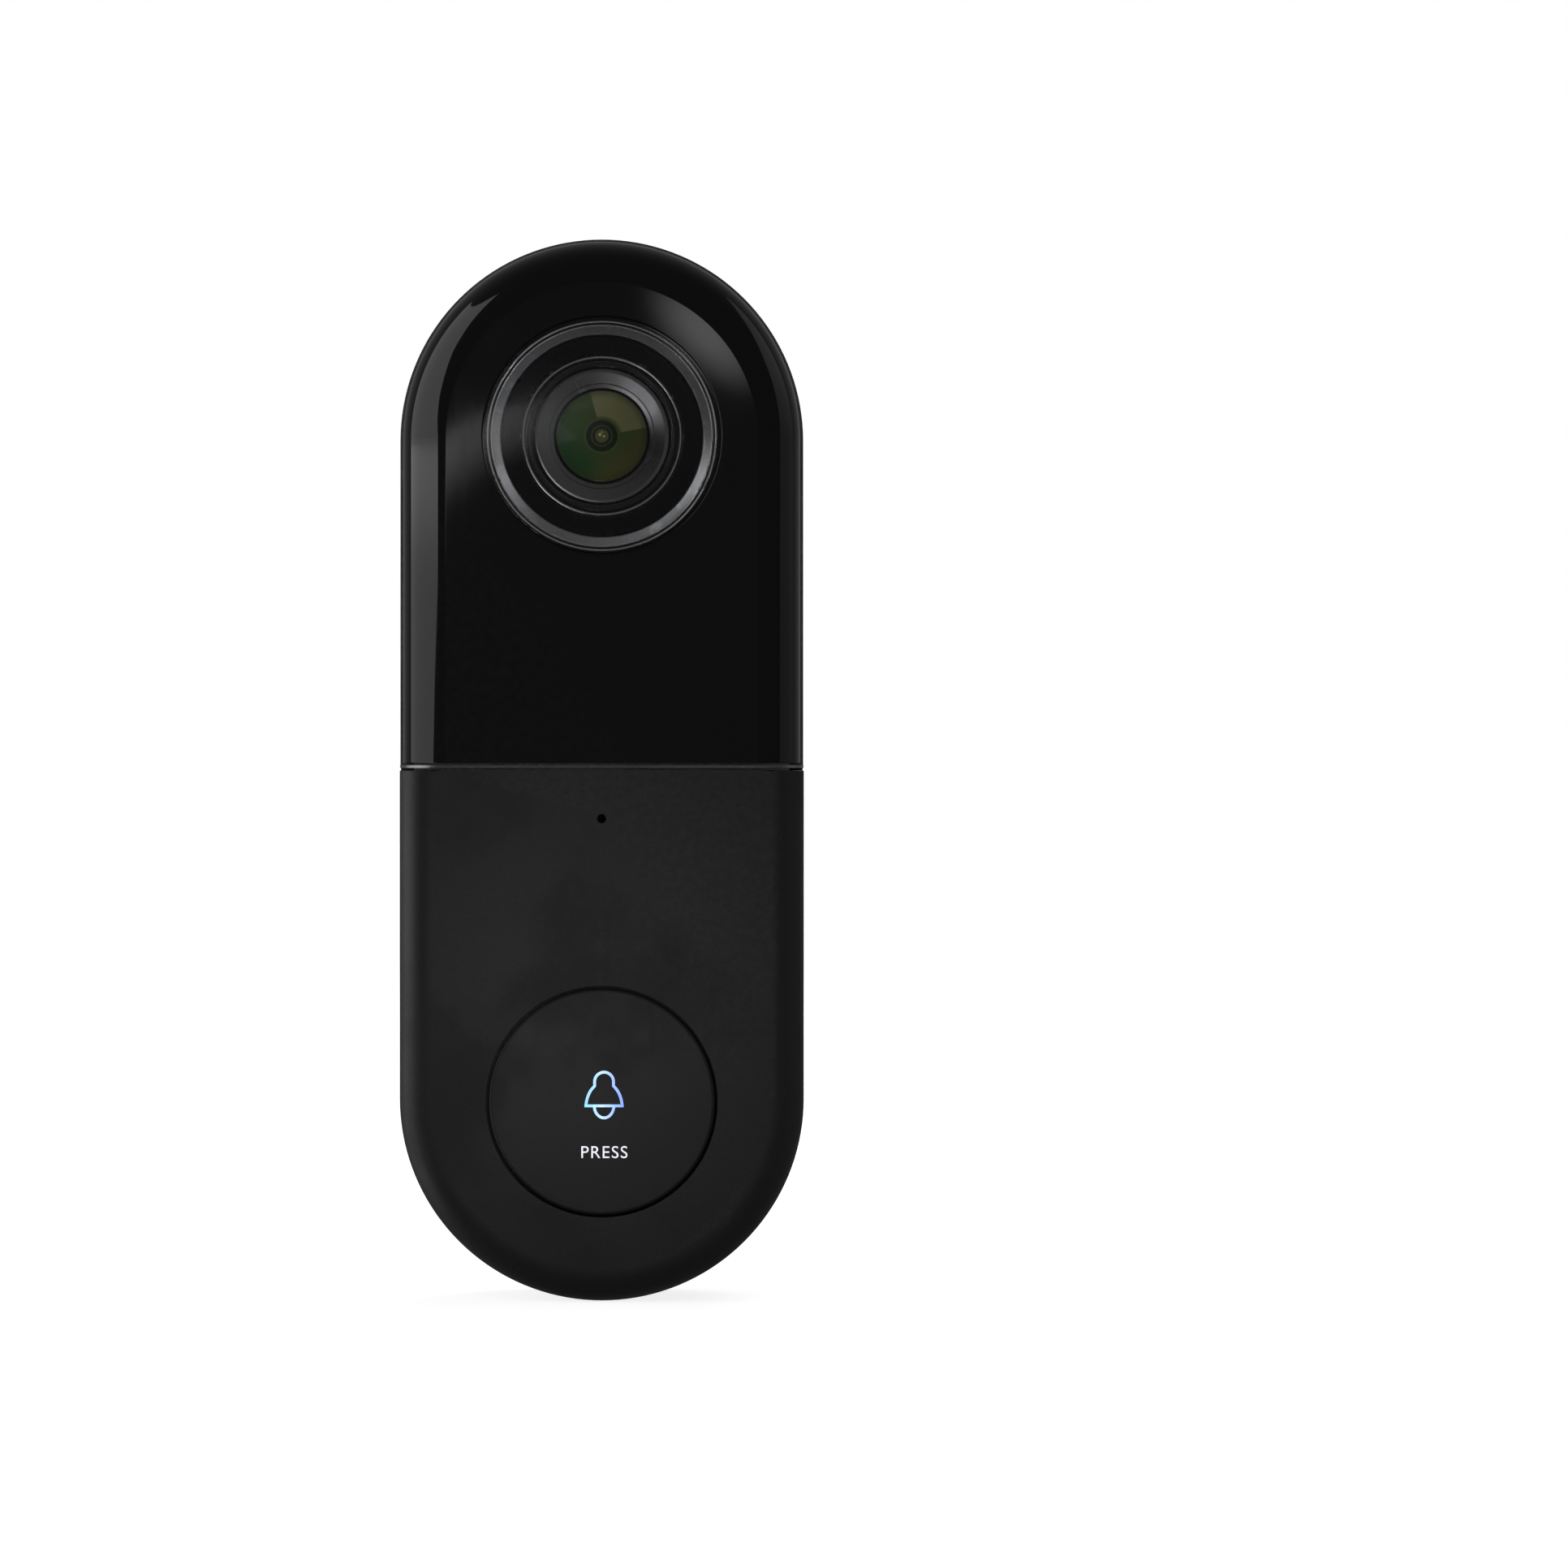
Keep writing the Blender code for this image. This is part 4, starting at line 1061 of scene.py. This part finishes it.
def make_camera():
    """The window, the rings behind it and the lens, from the outside in."""
    window_radius = high("camera_window")[0]
    front, back = low("camera_window")[1], high("camera_window")[1]
    outline = [(0, front), (window_radius, front), (window_radius, back), (0, back)]
    outline = round_corners(outline, 0.12 * MM, closed=False)
    window = shade(turned("window_pane", outline, "clear_window", CAMERA))
    stands_for(window, "doorbell", "clear_window", "camera_window")

    top = low("camera_bezel")[1]
    outer, inner, step, root = 15.6 * MM, 13.45 * MM, 14.75 * MM, -25.3 * MM
    outline = [(inner, root), (step, root), (step, top + 0.3 * MM)]
    outline += [(inner + 0.12 * MM, top), (inner, top + 0.14 * MM)]
    face = shade(turned("bezel_face", round_corners(outline, 0.05 * MM), "satin_metal", CAMERA))
    # gloss black collar: the groove round the bezel face reads dark, a painted shade
    outline = [(step, root), (outer, root), (outer, -27.7 * MM), mm(17.2, -27.7), mm(17.2, -28.9)]
    outline += [(outer, -28.9 * MM), (outer, top + 0.7 * MM), (step, top + 0.7 * MM)]
    groove_shade_collar = shade(turned("bezel_collar", round_corners(outline, 0.08 * MM), "gloss_black", CAMERA))
    lips = []
    spans = ((step - 0.1 * MM, step + 0.06 * MM, 0.2 * MM), mm(15.12, 15.34, 0.3))
    for start, end, below in spans:
        front = top + below
        outline = [(start, front + 0.6 * MM), (end, front + 0.6 * MM), (end, front), (start, front)]
        lips.append(shade(turned("bezel_lip", round_corners(outline, 0.05 * MM), "steel", CAMERA)))
    stands_for(join("bezel_ring", [face, groove_shade_collar, *lips]), "doorbell", "satin_metal", "camera_bezel")

    front = low("ir_window")[1]
    outline = [(10.95 * MM, front), (13.2 * MM, front), mm(13.2, -28.6), mm(10.95, -28.6)]
    ring_piece("dark_ring", outline, "smoked_window", 0.12 * MM, "smoked_window", "ir_window")

    front = low("window_trim")[1]
    outline = [(10.35 * MM, front), (10.62 * MM, front), mm(10.65, -28.6), mm(10.3, -28.6)]
    ring_piece("trim_ring", outline, "steel", 0.1 * MM, "satin_metal", "window_trim")

    front = low("lens_shroud")[1]
    outline = [(9.25 * MM, front), (10.0 * MM, front), mm(10.0, -25.2), mm(13.2, -25.2)]
    outline += [mm(13.2, -24.2), mm(9.25, -24.2)]
    ring_piece("shroud_tube", outline, "gloss_black", 0.1 * MM, "gloss_black", "lens_shroud")

    front = low("lens_hood")[1]
    outline = [(8.95 * MM, front + 0.15 * MM), mm(8.95, -27), mm(6.35, -27), mm(6.35, -28.6)]
    outline += [mm(6.95, -28.85), mm(7.05, -29.0), (8.55 * MM, front)]
    radii = [0.15 * MM, 0.1 * MM, 0.1 * MM, 0.15 * MM, 0.12 * MM, 0.2 * MM, 0.5 * MM]
    ring_piece("hood_ring", outline, "hood_metal", radii, "satin_metal", "lens_hood")
    make_lens()
    make_lamps()


def make_lens():
    """Domed front lens with the stop and the small inner elements in its middle."""
    radius = high("front_lens")[0]
    front, back = low("front_lens")[1], high("front_lens")[1]
    sag = 0.9 * MM
    outline = []
    for i in range(24):
        r = radius * i / 23
        outline.append((r, front + sag * (r / radius) ** 2))
    outline += [(radius, back), (0, back)]
    lens = shade(turned("front_glass", outline, "lens_glass", CAMERA))
    stands_for(lens, "doorbell", "lens_glass", "front_lens")


def make_lamps():
    """Infrared lamps behind the dark ring, as domes on short cups."""
    front, back = low("ir_led_1")[1], high("ir_led_1")[1]
    radius = 1.0 * MM
    outline = [(0, front)]
    for i in range(1, 7):
        angle = math.pi / 2 * i / 6
        outline.append((radius * 0.8 * math.sin(angle), front + radius * 0.8 * (1 - math.cos(angle))))
    outline += [(radius, front + radius * 0.85), (radius, back), (0, back)]
    dome = shade(turned("dome", outline, "clear_resin", (0, 0, 0), steps=28))
    ring = {"Part": dome, "Count": 6, "Radius": middle("ir_led_1")[0], "Centre": CAMERA}
    lamps = grow("lamps", RING_OF_COPIES, "clear_resin", **ring)
    stands_for(lamps, "doorbell", "clear_resin", *[f"ir_led_{i + 1}" for i in range(6)])


# ---------------------------------------------------------------- button


def stroke(name, path, width, y_front, depth, finish):
    """A line of even width along a path of (x, z) points, as a thin raised solid."""
    loops = []
    count = len(path)
    for i, (x, z) in enumerate(path):
        before, after = path[max(i - 1, 0)], path[min(i + 1, count - 1)]
        along = Vector((after[0] - before[0], after[1] - before[1])).normalized()
        side = Vector((-along.y, along.x)) * width / 2
        left, right = (x + side.x, z + side.y), (x - side.x, z - side.y)
        loops.append([(left[0], y_front, left[1]), (right[0], y_front, right[1])])
        loops[-1] += [(right[0], y_front + depth, right[1]), (left[0], y_front + depth, left[1])]
    return piece_from(name, *skin(loops), finish)


def bell_outline(half_width, height, base):
    """Right half of a bell from its top to its foot, as (x, z) points measured from its base."""
    radius = half_width * 0.52
    points = []
    for i in range(15):
        angle = math.pi / 2 * (1 - i / 14)
        points.append((radius * math.cos(angle), height - radius * 1.02 + radius * math.sin(angle)))
    neck = (points[-1][0], points[-1][1] - height * 0.13)
    points.append(neck)
    foot = (half_width, base)
    control = (half_width * 0.93, neck[1] - height * 0.2)
    for i in range(1, 13):
        t = i / 12
        shares = ((1 - t) ** 2, 2 * t * (1 - t), t * t)
        corners = zip(shares, (neck, control, foot))
        points.append(tuple(sum(axis) for axis in zip(*[(a * x, a * z) for a, (x, z) in corners])))
    return points


def make_button():
    """Round cap with its lit bell and its caption, which stand a little proud of it."""
    front = low("button_cap")[1] + 0.04 * MM
    radius = 15.05 * MM
    flange_front, flange_back = -28.7 * MM, high("button_cap")[1]
    inner = radius - 1.2 * MM
    outline = [(0, front), (radius - 0.28 * MM, front), (radius, front + 0.28 * MM), (radius, flange_front)]
    outline += [(16.2 * MM, flange_front), (16.2 * MM, flange_back), (inner, flange_back)]
    outline += [(inner, front + 1.2 * MM), (0, front + 1.2 * MM)]
    sizes = [0, 0.2 * MM, 0.2 * MM, 0, 0.1 * MM, 0.1 * MM, 0.1 * MM, 0.2 * MM, 0]
    cap = shade(turned("button_face", round_corners(outline, sizes, closed=False), "button_black", BUTTON))
    stands_for(cap, "button", "matte_black", "button_cap")

    depth, width = 0.5 * MM, 0.37 * MM
    line_front = front - 0.03 * MM
    bell_base = BUTTON_Z - 0.5 * MM
    shift = 0.3 * MM
    outline = bell_outline(2.42 * MM, 4.5 * MM, 0.0)
    right = [(shift + x, z + bell_base) for x, z in outline]
    left = [(shift - x, z + bell_base) for x, z in outline]
    body = [*left[::-1], *right[1:]]
    strokes = [stroke("bell_body", body, width, line_front, depth, "lit_bell")]
    base = [(shift - 2.6 * MM + 5.2 * MM * i / 12, bell_base) for i in range(13)]
    strokes.append(stroke("bell_base", base, width, line_front, depth, "lit_bell"))
    clapper = []
    for i in range(25):
        angle = math.pi * (1 + i / 24)
        clapper.append((shift + 1.3 * MM * math.cos(angle), bell_base + 1.6 * MM * math.sin(angle)))
    strokes.append(stroke("bell_clapper", clapper, width, line_front, depth, "lit_bell"))
    strokes.append(caption(front))
    shelf, under = front + 1.8 * MM, high("icon_light_guide")[1]
    wide = 6.2 * MM
    outline = [(0, shelf), (wide, shelf), (wide, under), (0, under)]
    guide = turned("guide", outline, "light_guide", BUTTON, steps=64)
    marks = join("lit_marks", [*strokes, guide])
    stands_for(marks, "button", "light_guide", "icon_light_guide")


def caption(front):
    """The word under the bell, in a plain typeface, as a thin raised mesh."""
    text = bpy.data.curves.new("caption", "FONT")
    text.body = "PRESS"
    text.align_x = "CENTER"
    text.align_y = "CENTER"
    text.size = 2.3 * MM
    text.space_character = 1.12
    text.extrude = 0.15 * MM
    text.resolution_u = 6
    holder = in_scene("caption_text", text)
    graph = bpy.context.evaluated_depsgraph_get()
    mesh = bpy.data.meshes.new_from_object(holder.evaluated_get(graph))
    bpy.data.objects.remove(holder, do_unlink=True)
    for vertex in mesh.vertices:
        x, y, z = vertex.co
        vertex.co = (x + 0.3 * MM, front - z + 0.12 * MM, y + BUTTON_Z - 6.75 * MM)
    mesh.materials.clear()
    # the caption's white print glows: painted light
    mesh.materials.append(FINISHES["lit_label"])
    return in_scene("caption", mesh)


# ---------------------------------------------------------------- port flap


def make_flap():
    """Soft flap over the port, with rounded corners, a finger notch and grip grooves."""
    (_, y0, z0), (_, y1, z1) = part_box("usb_cover")
    outer = high("usb_cover")[0]
    inner = outer - 1.2 * MM
    centre = ((y0 + y1) / 2, (z0 + z1) / 2)
    loops = []
    layers = [(0.0, inner), (0.0, outer - 0.35 * MM), (0.1 * MM, outer - 0.12 * MM), (0.35 * MM, outer)]
    for inset, x in layers:
        size = (y1 - y0 - 2 * inset, z1 - z0 - 2 * inset)
        outline = rounded_rectangle(*size, 1.5 * MM - inset, centre=centre, low_radius=0.4 * MM)
        loops.append([(x, y, z) for y, z in outline])
    flap = piece_from("port_flap_skin", *skin(loops), "silicone")
    plug = rounded_rectangle(3.0 * MM, 8.8 * MM, 1.45 * MM, centre=(PORT_Y, PORT_Z))
    boolean(flap, "UNION", extruded("plug", plug, mm(25.2, 26.1), axis="X"))
    notch = obround(1.0 * MM, 4.0 * MM, centre=(0, 0))
    notch = [(centre[0] + b, z1 - 1.4 * MM + a) for a, b in notch]
    boolean(flap, "DIFFERENCE", extruded("notch", notch, (outer - 0.45 * MM, outer + MM), axis="X"))
    bar = rod("bar", 0.22 * MM, mm(-2.2, 2.2), (0, 0, 0), steps=16)
    row = {"Part": bar, "Count": 5, "Start": (outer, centre[0], z1 - 3.2 * MM), "Step": (0, 0, -0.8 * MM)}
    boolean(flap, "DIFFERENCE", grow("grooves", ROW_OF_COPIES, "silicone", **row))
    soften(flap, 0.08 * MM, 2)
    stands_for(flap, "port_flap", "silicone", "usb_cover")


# ---------------------------------------------------------------- inner pieces that keep their shape

KEPT = {
    "smoked_window": ("microphone", "mic_gasket"),
    "inner_plastic": (
        "speaker_mesh", "speaker_basket", "speaker_cone", "lens_barrel", "lens_holder",
        "filter_actuator", "tact_switch", "reset_switch", "battery_holder",
    ),
    "steel": ("shield_can", "usb_port", "speaker_magnet", "camera_screw_1", "camera_screw_2"),
    "silicone": ("housing_gasket", "button_gasket", "reset_key", "battery_lead"),
    "circuit_board": ("camera_board", "ir_led_board", "main_board", "usb_board"),
    "amber_film": ("camera_flex", "wifi_antenna"),
    "cell_sleeve": ("battery_cell_1", "battery_cell_2"),
    "clear_resin": ("light_sensor", "indicator_led", "switch_plunger"),
    "lens_glass": ("inner_lens", "ir_cut_filter", "image_sensor"),
}


def paint_kept_nodes():
    """Procedural finishes for the nodes whose shape is already right."""
    for finish, nodes in KEPT.items():
        for node in nodes:
            for slot in frame["nodes"][node].material_slots:
                slot.material = FINISHES[finish]


# ---------------------------------------------------------------- stage, camera and lights


def make_floor():
    """White paper under the body's round end, its glow dimmed near the body as a painted shadow, and clear
    from underneath.
    """
    half = 6.0
    level = cad_low[2] - 0.0001
    corners = [(-half, -half, level), (half, -half, level), (half, half, level), (-half, half, level)]
    floor = piece_from("floor", corners, [(0, 1, 2, 3)], None)
    paper = Finish("white_paper", (0.48, 0.48, 0.48), 0.9, Specular_IOR_Level=0.1)
    tree = paper.tree
    where = object_place(tree)
    painted_shadow_reach = reach_from(tree, where, (0.0, 0.0, 0.0), (1.0, 1.0, 0.0))
    fleck = ramp(tree, noise(tree, where, 300.0), 0.0, 1.0, 0.46, 0.5)
    grey = add_node(tree, "ShaderNodeCombineColor", Red=fleck, Green=fleck, Blue=fleck)
    tree.links.new(grey.outputs["Color"], paper.inputs["Base Color"])
    paper.inputs["Emission Color"].default_value = (1.0, 1.0, 1.0, 1.0)
    # glow dimmer within 0.2 m of the body: a painted shadow
    tree.links.new(ramp(tree, painted_shadow_reach, 0.03, 0.2, 0.84, 1.0), paper.inputs["Emission Strength"])
    under = tree.nodes.new("ShaderNodeNewGeometry").outputs["Backfacing"]
    clear = tree.nodes.new("ShaderNodeBsdfTransparent").outputs["BSDF"]
    solid = tree.nodes["Principled BSDF"].outputs["BSDF"]
    blend = add_node(tree, "ShaderNodeMixShader", Fac=under, in_1=solid, in_2=clear)
    tree.links.new(blend.outputs["Shader"], tree.nodes["Material Output"].inputs["Surface"])
    floor.data.materials.append(paper.material)
    floor.visible_glossy = False
    floor.visible_diffuse = False


def make_world():
    """White behind everything the camera sees; dim grey, brighter at the back, for reflections."""
    world = bpy.data.worlds.new("studio")
    world.use_nodes = True
    tree = world.node_tree
    white = tree.nodes["Background"]
    white.inputs["Color"].default_value = (1.0, 1.0, 1.0, 1.0)
    white.inputs["Strength"].default_value = 1.0
    direction = tree.nodes.new("ShaderNodeTexCoord").outputs["Generated"]
    strength = ramp(tree, axes(tree, direction)["Y"], -0.35, 0.9, SKY_FRONT, SKY_BACK)
    dim = add_node(tree, "ShaderNodeBackground", Strength=strength).outputs["Background"]
    seen = tree.nodes.new("ShaderNodeLightPath").outputs["Is Camera Ray"]
    both = add_node(tree, "ShaderNodeMixShader", Fac=seen, in_1=dim, in_2=white.outputs["Background"])
    tree.links.new(both.outputs["Shader"], tree.nodes["World Output"].inputs["Surface"])
    bpy.context.scene.world = world


def light_card(name, verts, faces, strength):
    """A glowing card that only reflections and surfaces see; strength fills its pattern."""
    mesh = bpy.data.meshes.new(name)
    mesh.from_pydata(verts, [], faces)
    glow = bpy.data.materials.new(name)
    glow.use_nodes = True
    tree = glow.node_tree
    tree.nodes.remove(tree.nodes["Principled BSDF"])
    lamp = add_node(tree, "ShaderNodeEmission", Strength=strength(tree, object_place(tree)))
    tree.links.new(lamp.outputs["Emission"], tree.nodes["Material Output"].inputs["Surface"])
    mesh.materials.append(glow)
    card = in_scene(name, mesh)
    card.visible_camera = False
    return card


def curved_card(name, rows, outer, strength):
    """A card bent round the body; rows are (elevation, inner azimuth) in degrees."""
    verts, faces = [], []
    for elevation, inner in rows:
        up = math.radians(elevation)
        for i in range(CARD_STEPS + 1):
            turn = math.radians(inner + (outer - inner) * i / CARD_STEPS)
            x, y, z = math.sin(turn) * math.cos(up), -math.cos(turn) * math.cos(up), math.sin(up)
            verts.append((CARD_REACH * x, CARD_REACH * y - 0.03, CARD_REACH * z))
    for row in range(len(rows) - 1):
        for i in range(CARD_STEPS):
            a = row * (CARD_STEPS + 1) + i
            faces.append((a, a + 1, a + CARD_STEPS + 2, a + CARD_STEPS + 1))
    return light_card(name, verts, faces, strength)


def left_pattern(tree, where):
    """Brighter below one level, where the big round reflector also shows, and near the ground."""
    up = axes(tree, where)["Z"]
    glow = times(tree, ramp(tree, up, 0.045, 0.078), calc(tree, "LESS_THAN", up, 0.081), 0.9)
    low_glow = ramp(tree, up, -0.25, -0.5, 0.0, 1.6)
    base = ramp(tree, up, -0.02, 0.14, 1.0, 1.2)
    return calc(tree, "ADD", glow, calc(tree, "ADD", base, low_glow))


def right_pattern(tree, where):
    return ramp(tree, axes(tree, where)["Z"], 0.0, 0.5, 0.2, 0.42)


def round_pattern(tree, where):
    """A round reflector's lit rim, strongest on the left, and a soft spot at the upper right."""
    reach = reach_from(tree, where, (-0.0045 * MIRROR, 0.0, 0.0215 * MIRROR))
    inside = calc(tree, "LESS_THAN", reach, 0.0284 * MIRROR)
    rim = ramp(tree, reach, 0.0195 * MIRROR, 0.0265 * MIRROR)
    to_left = times(tree, calc(tree, "SUBTRACT", 0.001 * MIRROR, axes(tree, where)["X"]), 62.0 / MIRROR)
    to_left = calc(tree, "MAXIMUM", to_left, 0.0)
    high_up = ramp(tree, axes(tree, where)["Z"], 0.025 * MIRROR, 0.041 * MIRROR)
    band = times(tree, inside, rim, to_left, high_up)
    turn = add_node(
        tree,
        "ShaderNodeMapping",
        Vector=where,
        Location=(0.0138 * MIRROR, 0.0, 0.0582 * MIRROR),
        Rotation=(0.0, math.radians(45), 0.0),
        Scale=(0.012 * MIRROR, 1.0, 0.0055 * MIRROR),
    )
    turn.vector_type = "TEXTURE"
    from_spot = reach_from(tree, turn.outputs["Vector"], (0.0, 0.0, 0.0))
    spot = ramp(tree, from_spot, 1.0, 0.1, 0.0, 2.0)
    return calc(tree, "ADD", calc(tree, "ADD", band, spot), SKY_FRONT)


def link_light(light, pieces, lit):
    """Lets a light reach only the named pieces, or all but them."""
    group = bpy.data.collections.new(light.name + "_pieces")
    for i, piece in enumerate(pieces):
        group.objects.link(bpy.data.objects[piece])
        group.collection_objects[i].light_linking.link_state = "INCLUDE" if lit else "EXCLUDE"
    light.light_linking.receiver_collection = group


def softbox(name, position, target, size, power, pieces, lit=True):
    """A rectangular area light aimed at a point, for or not for the named pieces."""
    lamp = bpy.data.lights.new(name, "AREA")
    lamp.shape = "RECTANGLE"
    lamp.size, lamp.size_y = size
    lamp.energy = power
    holder = in_scene(name, lamp)
    holder.location = position
    holder.rotation_euler = (Vector(target) - Vector(position)).to_track_quat("-Z", "Y").to_euler()
    holder.visible_camera = False
    if pieces:
        link_light(holder, pieces, lit)


def make_camera_view():
    """The camera, square in front of the face, with the frame shifted to the right."""
    distance = 1.0
    frame_width = 0.2097
    across, down = 0.1162, -0.0095
    lens = bpy.data.cameras.new("camera")
    lens.sensor_width = 36.0
    lens.lens = lens.sensor_width * distance / frame_width
    lens.shift_x = across
    lens.shift_y = down
    lens.clip_start = 0.01
    lens.clip_end = 50.0
    holder = in_scene("camera", lens)
    holder.location = (0.0, -distance - 0.026, 0.0)
    holder.rotation_euler = (math.radians(90), 0.0, 0.0)
    bpy.context.scene.camera = holder


def make_lights():
    """Cards the gloss half mirrors, and soft lamps for the matte parts alone."""
    rows = [(-52, 36), (-25, 34), (0, 32), (1.5, 27), (3, 18.5)]
    rows += [(5.5, 18.5), (8, 23), (12, 28), (25, 39), (36, 43)]
    rows.append((49, 46))
    rows = [(up, -turn) for up, turn in rows]
    rings = ("hood_ring", "bezel_ring", "trim_ring")
    matte = ("matte_cover", "button_face")
    link_light(curved_card("left_card", rows, -107, left_pattern), rings + matte, False)
    rows = [(-25, 59), (0, 60), (28, 66), (45, 85), (51, 104)]
    curved_card("right_card", rows, 108, right_pattern)
    y = -1.2
    corners = [(-0.08, y, -0.03), (0.07, y, -0.03), (0.07, y, 0.16), (-0.08, y, 0.16)]
    light_card("round_card", corners, [(0, 1, 2, 3)], round_pattern)
    shiny = ("gloss_fascia", "window_pane", "metal_rim", *rings)
    face = (0, -0.03, 0)
    softbox("front_fill", (-0.15, -1.3, 0.9), face, (0.9, 0.6), FILL_POWER, shiny, False)
    at, target = (-0.007, -0.125, -0.032), (-0.006, -0.03, -0.03)
    softbox("near_fill", at, target, (0.02, 0.03), NEAR_POWER, shiny, False)
    softbox("back_fill", (0.3, 1.2, 0.8), face, (0.8, 0.8), 8.0, shiny, False)
    softbox("ring_light_right", (0.36, -0.8, -0.16), CAMERA, (0.16, 0.16), 0.9, ("bezel_ring",))
    softbox("ring_light_left", (-0.38, -0.5, -0.34), CAMERA, (0.4, 0.4), 1.4, ("hood_ring", "trim_ring"))
    softbox("ring_light_side", (-0.38, -0.8, -0.02), CAMERA, (0.16, 0.16), 0.55, ("bezel_ring",))
    softbox("edge_light", (-0.6, 0.0, -0.02), (0, -0.02, -0.02), (0.5, 0.7), 2.6, matte)


def main():
    make_rear_housing()
    make_lower_cover()
    make_upper_fascia()
    make_rim()
    make_bracket()
    make_screws()
    make_camera()
    make_button()
    make_flap()
    paint_kept_nodes()
    make_floor()
    make_world()
    make_camera_view()
    make_lights()
    bpy.context.scene.view_settings.view_transform = "Standard"


main()
